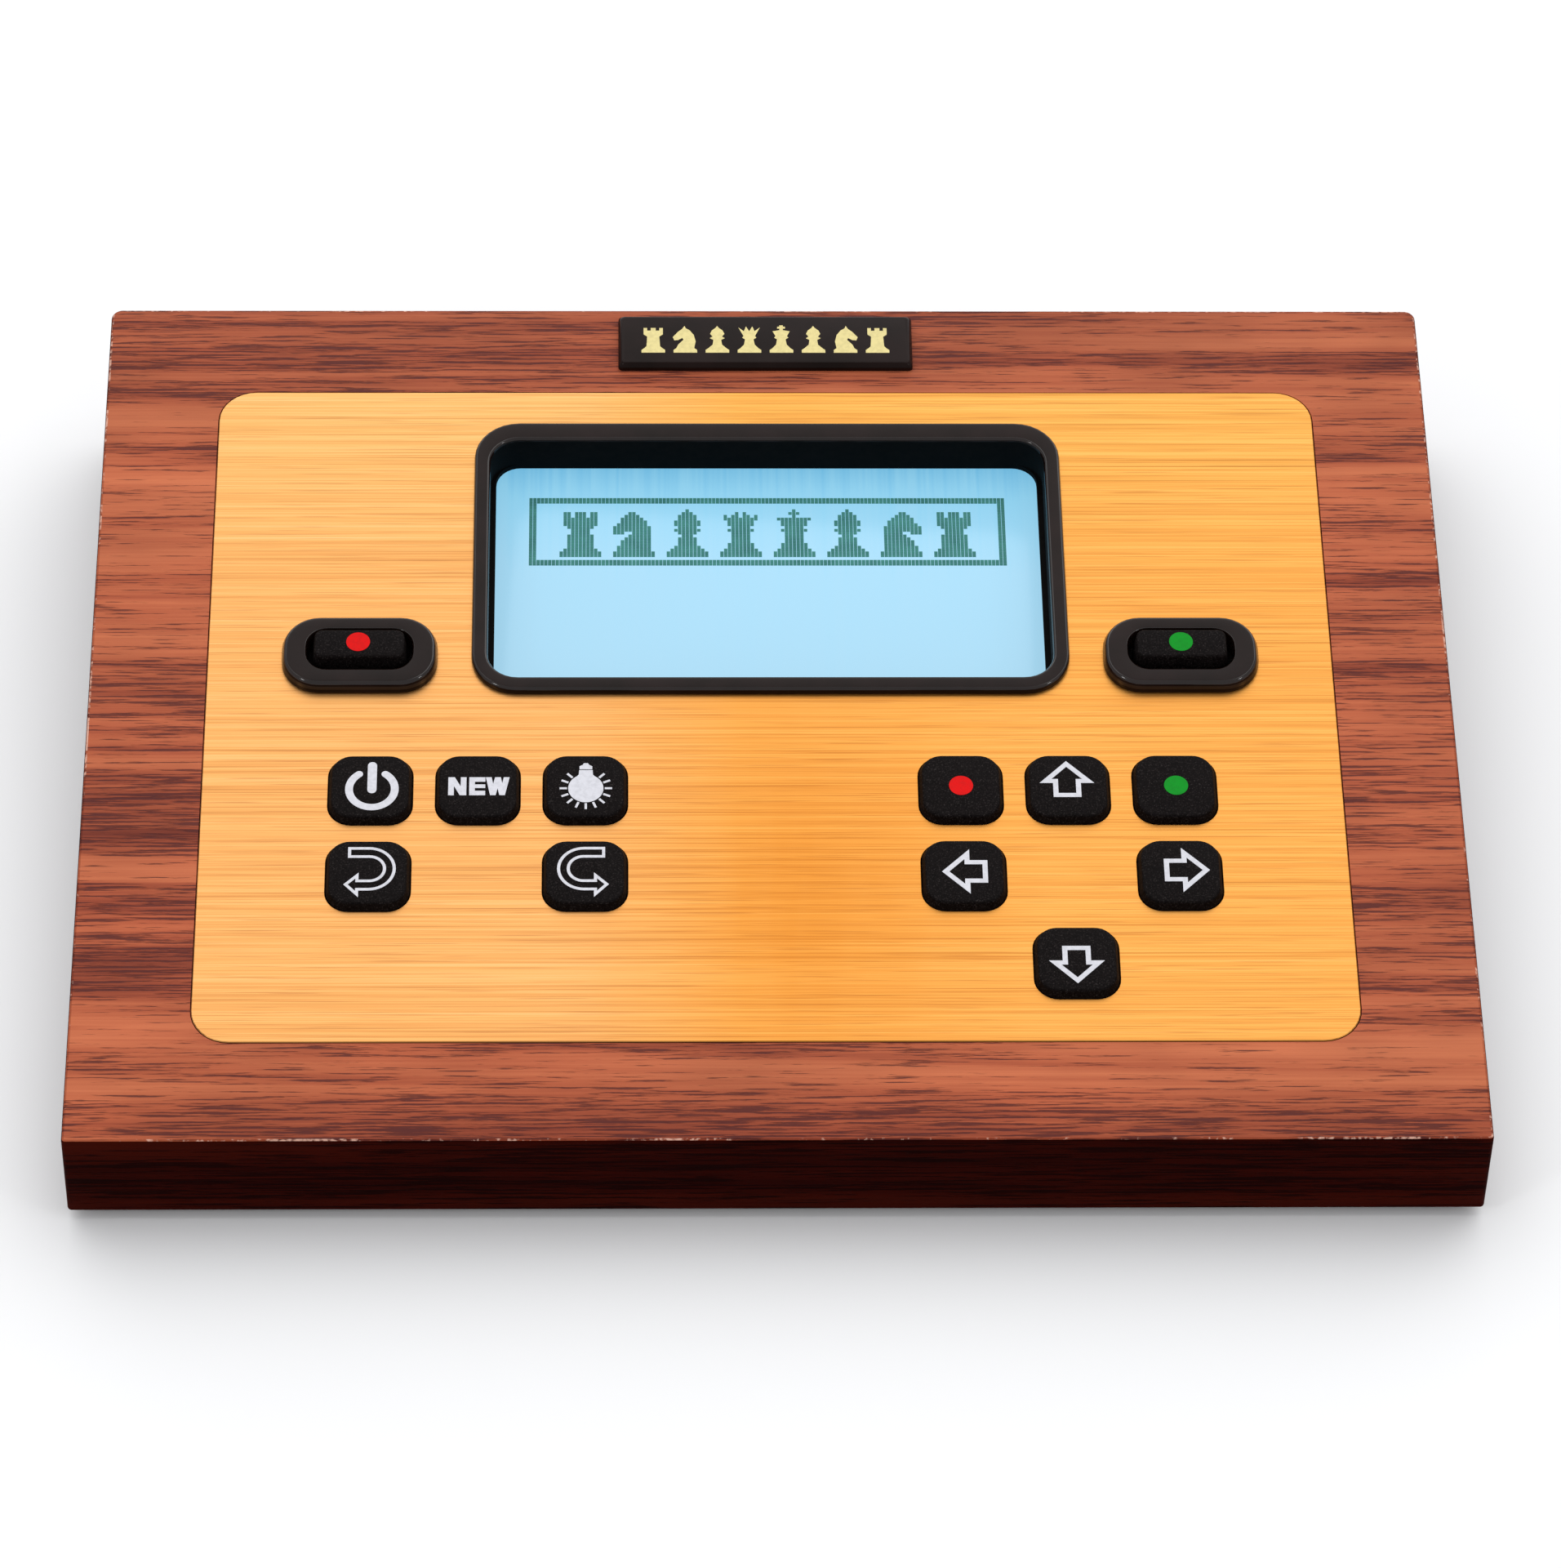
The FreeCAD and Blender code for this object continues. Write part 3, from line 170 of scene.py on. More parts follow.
def panel_matrix():
    """Where the sloping top lies, from the direction the keys press in and the top board's box."""
    press = Vector(frame["joints"][0]["axis"])
    slope = math.atan2(press.y, -press.z)
    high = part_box("top_board")[1]
    middle = high[2] - high[1] * math.tan(slope)
    return Matrix.Translation((0, 0, middle)) @ Matrix.Rotation(slope, 4, "X"), slope


PANEL, SLOPE = panel_matrix()
UPRIGHT = Matrix.Identity(4)
CASE_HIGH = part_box("top_board")[1]
CASE_WIDTH = 2 * CASE_HIGH[0] / MM
CASE_DEPTH = 2 * CASE_HIGH[1] / MM
SLOPE_LENGTH = CASE_DEPTH / math.cos(SLOPE)
CASE_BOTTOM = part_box("front_rail")[0][2] / MM


def panel_centre(node):
    """The centre of a node, as millimetres across and up the panel."""
    low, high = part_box(node)
    middle = (Vector(low) + Vector(high)) / 2
    local = PANEL.inverted() @ middle
    return local.x / MM, local.y / MM


# Meshes

def ring(width, depth, radius, level, x=0.0, y=0.0):
    """Points round a rectangle with round corners, one radius or four, from its right rear one."""
    radii = radius if isinstance(radius, list) else [radius] * 4
    points = []
    for quarter, (side, end) in enumerate([(1, 1), (-1, 1), (-1, -1), (1, -1)]):
        reach = radii[quarter]
        corner_x = x + side * (width / 2 - reach)
        corner_y = y + end * (depth / 2 - reach)
        for step in range(ARC_STEPS + 1):
            angle = math.radians(90 * (quarter + step / ARC_STEPS))
            points.append(Vector((corner_x + reach * math.cos(angle),
                                  corner_y + reach * math.sin(angle), level)))
    return points


def grown(shape, margin):
    """A shape with its sides moved out by a margin."""
    width, depth, radius = shape
    return width + 2 * margin, depth + 2 * margin, radius + margin


def edge_profile(size):
    """Insets and drops of a quarter-round edge, from the side up to the face."""
    turns = [math.radians(90 * step / EDGE_STEPS) for step in range(EDGE_STEPS + 1)]
    return [(size * (1 - math.cos(turn)), size * (1 - math.sin(turn))) for turn in turns]


def outer_edge(shape, top, size, x, y):
    """Rings that round the outer edge of a raised face, from its side up to the face."""
    return [ring(*grown(shape, -inset), top - drop, x, y) for inset, drop in edge_profile(size)]


def inner_edge(shape, top, size, x, y):
    """Rings that round the rim of an opening, from the face down into the opening."""
    return [ring(*grown(shape, inset), top - drop, x, y)
            for inset, drop in reversed(edge_profile(size))]


def add_row(mesh_data, points):
    """New mesh points, in the order given."""
    return [mesh_data.verts.new(point) for point in points]


def add_band(mesh_data, lower, upper, closed=True):
    """Faces between two rows of equally many points."""
    count = len(lower)
    for index in range(count if closed else count - 1):
        after = (index + 1) % count
        mesh_data.faces.new((lower[index], lower[after], upper[after], upper[index]))


def finish_mesh(name, mesh_data, matrix, sharp=SHARP_ANGLE):
    """Turn a bmesh drawn in millimetres into an object in the row's frame."""
    bmesh.ops.transform(mesh_data, matrix=matrix @ Matrix.Scale(MM, 4), verts=mesh_data.verts)
    bmesh.ops.recalc_face_normals(mesh_data, faces=mesh_data.faces)
    mesh = bpy.data.meshes.new(name)
    mesh_data.to_mesh(mesh)
    mesh_data.free()
    mesh.polygons.foreach_set("use_smooth", [True] * len(mesh.polygons))
    mesh.set_sharp_from_angle(angle=math.radians(sharp))
    piece = bpy.data.objects.new(name, mesh)
    bpy.context.scene.collection.objects.link(piece)
    return piece


def skin(name, rings, matrix=PANEL, loop_back=False, open_ended=False):
    """A closed skin over rings of equally many points.

    It is capped at its first and last ring or joined back to its start. Open-ended rings are
    strips, and the caps are at the strips' ends."""
    mesh_data = bmesh.new()
    rows = [add_row(mesh_data, points) for points in rings]
    pairs = list(zip(rows, rows[1:]))
    if loop_back:
        pairs.append((rows[-1], rows[0]))
    for lower, upper in pairs:
        add_band(mesh_data, lower, upper, closed=not open_ended)
    if open_ended:
        mesh_data.faces.new([row[0] for row in rows])
        mesh_data.faces.new([row[-1] for row in reversed(rows)])
    elif not loop_back:
        mesh_data.faces.new(rows[0])
        mesh_data.faces.new(rows[-1])
    return finish_mesh(name, mesh_data, matrix)


def stand_in(piece, node, material, body="case"):
    """Give a new piece its body and its finish, and hide the CAD node it stands for."""
    piece.data.materials.append(material)
    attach(piece, body)
    if node:
        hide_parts(node)
    return piece


def brighten_edge_highlights(piece):
    """Give a ring's rounded edges a more reflective copy of the black, as the piece's second
    material: painted highlight.
    """
    piece.data.materials.append(EDGE_HIGHLIGHT_BLACK)
    upright = PANEL.to_3x3().inverted()
    for face in piece.data.polygons:
        lift = (upright @ face.normal).z
        if 0.2 < lift < 0.97:
            face.material_index = 1


def cut(piece, cutter):
    """Cut a shape out of a piece for good."""
    modifier = piece.modifiers.new("cut", "BOOLEAN")
    modifier.operation = "DIFFERENCE"
    modifier.solver = "EXACT"
    modifier.object = cutter
    graph = bpy.context.evaluated_depsgraph_get()
    mesh = bpy.data.meshes.new_from_object(piece.evaluated_get(graph))
    piece.modifiers.clear()
    piece.data = mesh
    bpy.data.objects.remove(cutter)


# Materials

class Finish:
    """A node material with the few links that every finish here needs."""

    def __init__(self, name, **sockets):
        self.material = bpy.data.materials.new(name)
        self.material.use_nodes = True
        self.tree = self.material.node_tree
        self.shader = self.tree.nodes["Principled BSDF"]
        for socket, number in sockets.items():
            self.shader.inputs[socket.replace("_", " ")].default_value = number
        self.place = self.tree.nodes.new("ShaderNodeTexCoord").outputs["Object"]

    def link(self, output, socket):
        """Feed one of the shader's sockets."""
        self.tree.links.new(output, self.shader.inputs[socket])

    def noise(self, stretch, detail=4.0, distortion=0.0, rough=0.55):
        """Noise whose features are one over stretch metres long on each axis."""
        mapping = self.tree.nodes.new("ShaderNodeMapping")
        mapping.inputs["Scale"].default_value = stretch
        noise = self.tree.nodes.new("ShaderNodeTexNoise")
        noise.inputs["Scale"].default_value = 1.0
        noise.inputs["Detail"].default_value = detail
        noise.inputs["Roughness"].default_value = rough
        noise.inputs["Distortion"].default_value = distortion
        self.tree.links.new(self.place, mapping.inputs["Vector"])
        self.tree.links.new(mapping.outputs[0], noise.inputs["Vector"])
        return noise.outputs[0]

    def ramp(self, factor, stops):
        """Colours at places along a factor."""
        node = self.tree.nodes.new("ShaderNodeValToRGB")
        elements = node.color_ramp.elements
        while len(elements) < len(stops):
            elements.new(0.5)
        for element, (position, colour) in zip(elements, stops):
            element.position = position
            element.color = (*colour, 1.0)
        self.tree.links.new(factor, node.inputs[0])
        return node.outputs[0]

    def spread(self, factor, low, high, to_low, to_high):
        """One range of a factor laid onto another, held at both ends."""
        node = self.tree.nodes.new("ShaderNodeMapRange")
        for socket, number in zip(list(node.inputs)[1:5], (low, high, to_low, to_high)):
            socket.default_value = number
        self.tree.links.new(factor, node.inputs[0])
        return node.outputs[0]

    def mix(self, factor, first, second, kind="MIX"):
        """Two colours mixed by a factor, a linked one or a number."""
        node = self.tree.nodes.new("ShaderNodeMix")
        node.data_type = "RGBA"
        node.blend_type = kind
        for socket, source in ((node.inputs[0], factor), (node.inputs[6], first),
                               (node.inputs[7], second)):
            if hasattr(source, "is_linked"):
                self.tree.links.new(source, socket)
            elif isinstance(source, tuple):
                socket.default_value = (*source, 1.0)
            else:
                socket.default_value = source
        return node.outputs[2]

    def join(self, first, second, kind="ADD"):
        """Two factors added, or joined by another kind of arithmetic."""
        node = self.tree.nodes.new("ShaderNodeMath")
        node.operation = kind
        for socket, source in zip(node.inputs, (first, second)):
            if hasattr(source, "is_linked"):
                self.tree.links.new(source, socket)
            else:
                socket.default_value = source
        return node.outputs[0]

    def axis(self, name):
        """One of the place's three coordinates, in metres."""
        node = self.tree.nodes.new("ShaderNodeSeparateXYZ")
        self.tree.links.new(self.place, node.inputs[0])
        return node.outputs[name]

    def distance(self, name, middle):
        """How far the place is from a middle along one coordinate, in metres."""
        offset = self.join(self.axis(name), middle, "SUBTRACT")
        return self.join(offset, 0.0, "ABSOLUTE")

    def bump(self, height, depth, strength=1.0):
        """Raise the surface by a height factor, up to a depth in metres."""
        node = self.tree.nodes.new("ShaderNodeBump")
        node.inputs["Strength"].default_value = strength
        node.inputs["Distance"].default_value = depth
        self.tree.links.new(height, node.inputs["Height"])
        self.link(node.outputs[0], "Normal")


def wood(name, along, shade, wear=0.0):
    """Satin reddish-brown veneer: long soft bands, fine fibres and short dark pores.

    The grain runs along one axis, shade deepens or lightens each part of the colour, and wear
    adds pale specks."""
    finish = Finish(name, Specular_IOR_Level=0.11 * min(shade[0], 1.0))

    def stretched(length, across):
        """Noise scales with the grain along one axis."""
        scales = [across, across, across]
        scales[along] = length
        return tuple(scales)

    def toned(*parts):
        """A colour brought to this wood's depth."""
        return tuple(tint * part for tint, part in zip(shade, parts))

    bands = finish.noise(stretched(4.5, 125), detail=3, distortion=0.7)
    fibres = finish.noise(stretched(30, 2100), detail=5, rough=0.7)
    mottle = finish.noise(stretched(45, 90), detail=2)
    pores = finish.noise(stretched(95, 3000), detail=4, rough=0.65)
    factor = finish.join(finish.join(bands, 0.74, "MULTIPLY"),
                         finish.join(fibres, 0.26, "MULTIPLY"))
    colour = finish.ramp(factor, [(0.32, toned(0.190, 0.033, 0.017)),
                                  (0.40, toned(0.325, 0.065, 0.029)),
                                  (0.48, toned(0.460, 0.106, 0.045)),
                                  (0.61, toned(0.610, 0.170, 0.073))])
    # Random mottle, multiplied by painted shade: the colour darkens towards the back of the case.
    tone = finish.join(finish.spread(mottle, 0.3, 0.7, 0.78, 1.0),
                       finish.spread(finish.axis("Y"), 0.035, 0.065, 1.0, 0.85), "MULTIPLY")
    colour = finish.mix(1.0, colour, finish.ramp(tone, [(0.0, (0, 0, 0)), (1.0, (1, 1, 1))]),
                        "MULTIPLY")
    crowd = finish.spread(bands, 0.40, 0.60, 0.50, 0.62)
    dashes = finish.spread(finish.join(pores, crowd, "SUBTRACT"), 0.0, 0.05, 0.0, 0.8)
    colour = finish.mix(dashes, colour, toned(0.060, 0.012, 0.014))
    if wear:
        places = finish.join(finish.noise((1400, 1400, 1400), detail=3),
                             finish.noise((60, 60, 60), detail=2))
        specks = finish.spread(places, 1.06, 1.20, 0.0, wear)
        colour = finish.mix(specks, colour, (0.72, 0.42, 0.32))
    finish.link(colour, "Base Color")
    finish.link(finish.spread(fibres, 0.3, 0.7, 0.42, 0.58), "Roughness")
    finish.bump(finish.join(fibres, finish.join(dashes, 0.8, "MULTIPLY"), "SUBTRACT"), 0.00005)
    return finish.material


def brushed_brass():
    """Warm brass brushed from side to side; painted reflection makes it paler on its left and rear
    and deeper near its middle.
    """
    finish = Finish("brushed_brass", Metallic=1.0)
    fine = finish.noise((14, 4600, 4600), detail=3, rough=0.7)
    broad = finish.noise((5, 1100, 1100), detail=3)
    factor = finish.join(finish.join(fine, 0.66, "MULTIPLY"), finish.join(broad, 0.34, "MULTIPLY"))
    lines = finish.ramp(factor, [(0.33, (0.38, 0.150, 0.030)), (0.43, (0.58, 0.240, 0.048)),
                                 (0.53, (0.66, 0.300, 0.065)), (0.66, (0.72, 0.360, 0.096))])
    scratches = finish.spread(finish.noise((55, 5600, 5600), detail=2), 0.58, 0.66, 0.0, 0.55)
    lines = finish.mix(scratches, lines, (0.40, 0.145, 0.030))
    # Painted reflection: the colour deepens towards the plate's middle, standing in for a darker
    # band of reflection there.
    painted_reflection_middle = finish.join(finish.spread(finish.distance("X", 0.003), 0.003, 0.032, 1.0, 0.0),
                        finish.spread(finish.distance("Y", -0.030), 0.006, 0.036, 0.90, 0.20),
                        "MULTIPLY")
    clouds = finish.spread(finish.noise((90, 14, 14), detail=3), 0.3, 0.7, 0.6, 1.0)
    colour = finish.mix(finish.join(painted_reflection_middle, clouds, "MULTIPLY"), lines, (0.88, 0.72, 0.46),
                        "MULTIPLY")
    # Painted reflection: paler and yellower on the left and towards the rear, where the reflection
    # is brighter.
    left = finish.spread(finish.axis("X"), -0.024, -0.004, 1.0, 0.0)
    colour = finish.mix(left, colour, (1.0, 1.09, 1.60), "MULTIPLY")
    rear = finish.spread(finish.axis("Y"), 0.020, 0.050, 0.0, 1.0)
    colour = finish.mix(rear, colour, (1.0, 1.09, 1.12), "MULTIPLY")
    finish.link(colour, "Base Color")
    finish.link(finish.spread(factor, 0.35, 0.65, 0.28, 0.42), "Roughness")
    finish.bump(factor, 0.00002, 0.6)
    return finish.material


def polished_black(name, shine):
    """Moulded glossy black plastic with faint unevenness."""
    finish = Finish(name, Specular_IOR_Level=shine)
    haze = finish.noise((180, 180, 180), detail=3)
    finish.link(finish.ramp(haze, [(0.3, (0.007, 0.003, 0.002)), (0.7, (0.013, 0.006, 0.005))]),
                "Base Color")
    finish.link(finish.spread(haze, 0.3, 0.7, 0.09, 0.15), "Roughness")
    finish.bump(haze, 0.00002, 0.3)
    return finish.material


def grained(name, dark, light, rough, scale, depth, shine=0.3):
    """A matt moulded surface with fine grain."""
    finish = Finish(name, Specular_IOR_Level=shine)
    grain = finish.noise((scale, scale, scale), detail=3)
    clouds = finish.noise((90, 90, 90), detail=2)
    factor = finish.join(finish.join(grain, 0.7, "MULTIPLY"), finish.join(clouds, 0.3, "MULTIPLY"))
    finish.link(finish.ramp(factor, [(0.35, dark), (0.70, light)]), "Base Color")
    finish.link(finish.spread(grain, 0.3, 0.7, rough - 0.06, rough + 0.06), "Roughness")
    finish.bump(grain, depth)
    return finish.material


def speckled_silicone():
    """Matt black silicone with pale specks."""
    finish = Finish("black_silicone", Specular_IOR_Level=0.05)
    grain = finish.noise((2600, 2600, 2600), detail=3)
    specks = finish.spread(finish.noise((5200, 5200, 5200), detail=2), 0.57, 0.70, 0.0, 0.5)
    ground = finish.ramp(grain, [(0.35, (0.002, 0.001, 0.001)), (0.7, (0.007, 0.005, 0.005))])
    finish.link(finish.mix(specks, ground, (0.050, 0.042, 0.040)), "Base Color")
    finish.link(finish.spread(grain, 0.3, 0.7, 0.55, 0.68), "Roughness")
    finish.bump(grain, 0.00003)
    return finish.material


def ink(name, colour):
    """Printed ink, slightly uneven."""
    finish = Finish(name, Specular_IOR_Level=0.1)
    cover = finish.noise((1800, 1800, 1800), detail=2)
    thin = tuple(part * 0.88 for part in colour)
    finish.link(finish.ramp(cover, [(0.35, thin), (0.6, colour)]), "Base Color")
    finish.link(finish.spread(cover, 0.3, 0.7, 0.42, 0.55), "Roughness")
    return finish.material


def metal(name, dark, light, rough, scale=900):
    """Plated or bare metal with fine wear."""
    finish = Finish(name, Metallic=1.0)
    wear = finish.noise((scale, scale, scale), detail=4)
    finish.link(finish.ramp(wear, [(0.3, dark), (0.7, light)]), "Base Color")
    finish.link(finish.spread(wear, 0.3, 0.7, rough - 0.08, rough + 0.08), "Roughness")
    finish.bump(wear, 0.00001, 0.5)
    return finish.material


def lit_display():
    """The display lit from behind: pale blue, deeper and darker towards its back edge as painted
    shadow of the bezel.
    """
    finish = Finish("lit_display", Roughness=0.22, Emission_Strength=0.71,
                    Specular_IOR_Level=0.35)
    low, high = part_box("lcd_glass")
    depth = finish.spread(finish.axis("Y"), low[1], high[1], 0.0, 1.0)
    streaks = finish.noise((1100, 9, 9), detail=2)
    backlight_and_painted_shadow = finish.join(depth, finish.spread(streaks, 0.3, 0.7, -0.05, 0.05))
    # Painted shadow: darker, deeper blue towards the back edge, where the bezel's shadow falls.
    colour = finish.ramp(backlight_and_painted_shadow, [(0.0, (0.44, 0.77, 0.98)), (0.55, (0.41, 0.77, 1.0)),
                                (0.85, (0.32, 0.74, 1.0)), (1.0, (0.20, 0.62, 0.95))])
    finish.link(colour, "Emission Color")
    finish.link(finish.mix(0.88, colour, (0.05, 0.08, 0.10)), "Base Color")
    return finish.material


def display_ink():
    """Switched-on dots: dark teal with a little of the light behind."""
    finish = Finish("display_ink", Roughness=0.35, Emission_Strength=0.25,
                    Specular_IOR_Level=0.2)
    tone = finish.noise((400, 400, 400), detail=2)
    colour = finish.ramp(tone, [(0.3, (0.018, 0.13, 0.115)), (0.7, (0.032, 0.18, 0.155))])
    finish.link(colour, "Base Color")
    finish.link(colour, "Emission Color")
    return finish.material


def circuit_board():
    """Green solder mask with paler copper tracks under it."""
    finish = Finish("circuit_board", Roughness=0.42)
    tracks = finish.noise((240, 60, 60), detail=1)
    finish.link(finish.ramp(tracks, [(0.48, (0.008, 0.075, 0.030)), (0.52, (0.02, 0.16, 0.06))]),
                "Base Color")
    return finish.material


def studio_floor():
    """A pale matt floor."""
    finish = Finish("studio_floor", Roughness=0.9)
    tone = finish.noise((3, 3, 3), detail=1)
    finish.link(finish.ramp(tone, [(0.3, (0.90, 0.90, 0.905)), (0.7, (0.93, 0.93, 0.935))]),
                "Base Color")
    return finish.material


# Painted shade: the rails' veneer is a darkened copy of the top's, standing in for the shade on
# the case's sides and front.
RAIL_PAINTED_SHADE = (0.085, 0.028, 0.022)
TOP_WOOD = wood("veneer_top", 0, (1.0, 1.0, 1.0))
# Real wear and painted shade: the top's rounded edge is a darker copy of the veneer, with pale
# wear specks.
WORN_AND_PAINTED_SHADE_WOOD = wood("veneer_edge_wear_and_painted_shade", 0, (0.75, 0.7, 0.7), wear=0.8)
LONG_WOOD = wood("veneer_long_rails", 0, RAIL_PAINTED_SHADE)
SHORT_WOOD = wood("veneer_short_rails", 1, RAIL_PAINTED_SHADE)
BRASS = brushed_brass()
BLACK = polished_black("polished_black", 0.13)
# Painted highlight: the same black with much stronger reflection, for rounded edges only, so they
# catch brighter highlights than the faces.
EDGE_HIGHLIGHT_BLACK = polished_black("edge_painted_highlight", 0.55)
PLATE_BLACK = polished_black("nameplate_black", 0.11)
SILICONE = speckled_silicone()
WHITE_INK = ink("white_ink", (0.68, 0.68, 0.73))
RED_INK = ink("red_ink", (0.70, 0.0, 0.0))
GREEN_INK = ink("green_ink", (0.0, 0.270, 0.014))
GOLD_INK = ink("gold_ink", (0.78, 0.67, 0.30))
LCD_LIGHT = lit_display()
LCD_INK = display_ink()
# Painted shade: the well's walls are a darker, duller copy of the bezel's black, standing in for
# the shade in the recess.
WELL_PAINTED_SHADE_BLACK = grained("well_painted_shade", (0.002, 0.002, 0.002), (0.005, 0.005, 0.005), 0.7, 900,
                     0.00001, shine=0.04)
STEEL = metal("plated_steel", (0.42, 0.42, 0.43), (0.62, 0.62, 0.63), 0.32)


# Wooden case: rings run down the outside, under the top edge's rounding

def case_ring(inset, level, sloped=True):
    """A ring round the case at an inset from its sides: on the slope, or level with the table."""
    depth = SLOPE_LENGTH if sloped else CASE_DEPTH
    radii = [max(radius - inset, 0.1)
             for radius in (REAR_CORNER, REAR_CORNER, FRONT_CORNER, FRONT_CORNER)]
    slide = level * math.tan(SLOPE) if sloped else 0.0
    return ring(CASE_WIDTH - 2 * inset, depth - 2 * inset, radii, level, y=slide)


def on_slope(points):
    """Carry points from the panel's frame into the table's, still in millimetres."""
    to_table = Matrix.Scale(1 / MM, 4) @ PANEL @ Matrix.Scale(MM, 4)
    return [to_table @ point for point in points]


def make_top_board():
    """The sloping board: half of the rounded edge, the face and the ledge for the faceplate."""
    opening = grown(faceplate_shape(), PLATE_GAP)
    ledge = (opening[0] - 2 * LEDGE_WIDTH, opening[1] - 2 * LEDGE_WIDTH, LEDGE_RADIUS)
    rounding = [case_ring(inset, -drop) for inset, drop in edge_profile(EDGE_ROUND)]
    rings = [case_ring(BOARD_THICKNESS, -BOARD_THICKNESS)]
    rings += rounding[EDGE_STEPS // 2:]
    rings += [ring(*opening, 0.0), ring(*opening, -PLATE_RECESS)]
    rings += [ring(*ledge, -PLATE_RECESS), ring(*ledge, -BOARD_THICKNESS)]
    piece = skin("wooden_top_board", rings, loop_back=True)
    stand_in(piece, "top_board", TOP_WOOD)
    wear_and_shade_edges(piece)


def make_rails():
    """Four rails that share the rounded edge's lower half and meet at the corners."""
    rounding = [on_slope(case_ring(inset, -drop)) for inset, drop in edge_profile(EDGE_ROUND)]
    foot = [case_ring(drop, CASE_BOTTOM + inset, sloped=False)
            for inset, drop in edge_profile(EDGE_ROUND)]
    rings = foot + rounding[:EDGE_STEPS // 2 + 1]
    rings.append(on_slope(case_ring(BOARD_THICKNESS, -BOARD_THICKNESS)))
    rings.append(on_slope(case_ring(RAIL_THICKNESS, -BOARD_THICKNESS)))
    rings.append(case_ring(RAIL_THICKNESS, CASE_BOTTOM, sloped=False))
    corner = ARC_STEPS + 1
    for index, name in enumerate(["rear_rail", "left_rail", "front_rail", "right_rail"]):
        start = index * corner + ARC_STEPS // 2
        picks = [number % (4 * corner) for number in range(start, start + corner + 1)]
        strips = [[points[number] for number in picks] for points in rings]
        piece = skin("wooden_" + name, strips + [strips[0]], UPRIGHT, open_ended=True)
        weld(piece)
        if name == "rear_rail":
            cut_socket_holes(piece)
        material = LONG_WOOD if name in ("rear_rail", "front_rail") else SHORT_WOOD
        stand_in(piece, name, material)


def wear_and_shade_edges(piece):
    """Give the narrow faces of the top's rounded edge a darker copy of the veneer with pale
    specks: real wear and painted shade.
    """
    piece.data.materials.append(WORN_AND_PAINTED_SHADE_WOOD)
    for face in piece.data.polygons:
        centre = PANEL.inverted() @ face.center / MM
        at_rim = abs(centre.x) > CASE_WIDTH / 2 - EDGE_ROUND or (
            abs(centre.y) > SLOPE_LENGTH / 2 - EDGE_ROUND)
        if at_rim and centre.z > -EDGE_ROUND:
            face.material_index = 1


def weld(piece):
    """Join the points that lie on each other."""
    mesh_data = bmesh.new()
    mesh_data.from_mesh(piece.data)
    bmesh.ops.remove_doubles(mesh_data, verts=mesh_data.verts, dist=0.01 * MM)
    bmesh.ops.recalc_face_normals(mesh_data, faces=mesh_data.faces)
    mesh_data.to_mesh(piece.data)
    mesh_data.free()
    piece.data.set_sharp_from_angle(angle=math.radians(SHARP_ANGLE))


def cut_socket_holes(rail):
    """Open the rear rail for each socket's nose and its block behind."""
    back = CASE_DEPTH / 2
    for node, nose in SOCKET_HOLES.items():
        low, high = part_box(node)
        middle = (Vector(low) + Vector(high)) / 2 / MM
        block_width = (high[0] - low[0]) / MM + 2 * BLOCK_GAP
        block_height = (high[2] - low[2]) / MM + 2 * BLOCK_GAP
        turn = Matrix.Translation(Vector((middle.x, 0, middle.z)) * MM) @ Matrix.Rotation(
            math.radians(90), 4, "X")
        drill = skin("drill", [ring(nose, nose, nose / 2 - 0.01, level)
                               for level in (-back - 2, -back + 4)], turn)
        cut(rail, drill)
        block = skin("block", [ring(block_width, block_height, 0.3, level)
                               for level in (-back + 2, -back + 20)], turn)
        cut(rail, block)


# Faceplate, bezel, collars, nameplate

def faceplate_shape():
    """The faceplate's outline, with its depth along the slope."""
    low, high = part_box("faceplate")
    width = (high[0] - low[0]) / MM
    depth = ((high[1] - low[1]) / MM - PLATE_RECESS * math.sin(SLOPE)) / math.cos(SLOPE)
    return width, depth, PLATE_RADIUS


def faceplate_holes():
    """The faceplate's openings, each as a shape and its place on the panel."""
    holes = [(grown(NECK, HOLE_GAP), panel_centre("lcd_glass"))]
    for node in ICONS:
        if node.endswith("long_key"):
            collar = node.replace("long_key", "key_collar")
            holes.append((grown(COLLAR_NECK, HOLE_GAP), panel_centre(collar)))
        else:
            holes.append((grown(KEY, HOLE_GAP), panel_centre(node)))
    return holes


def make_faceplate():
    """The brushed plate: flat faces with every opening in them, and bright chamfered rims."""
    mesh_data = bmesh.new()
    outlines = [(faceplate_shape(), (0.0, 0.0))] + faceplate_holes()
    top_edges, bottom_edges = [], []
    for index, (shape, place) in enumerate(outlines):
        margin = -PLATE_CHAMFER if index == 0 else PLATE_CHAMFER
        wall = [ring(*shape, -PLATE_RECESS, *place),
                ring(*shape, PLATE_TOP - PLATE_CHAMFER, *place),
                ring(*grown(shape, margin), PLATE_TOP, *place)]
        rows = [add_row(mesh_data, points) for points in wall]
        for lower, upper in zip(rows, rows[1:]):
            add_band(mesh_data, lower, upper)
        for row, edges in ((rows[0], bottom_edges), (rows[-1], top_edges)):
            for point, after in zip(row, row[1:] + row[:1]):
                edges.append(mesh_data.edges.get((point, after)))
    for edges in (top_edges, bottom_edges):
        bmesh.ops.triangle_fill(mesh_data, use_beauty=True, edges=edges)
    piece = finish_mesh("brushed_faceplate", mesh_data, PANEL, sharp=30)
    stand_in(piece, "faceplate", BRASS)


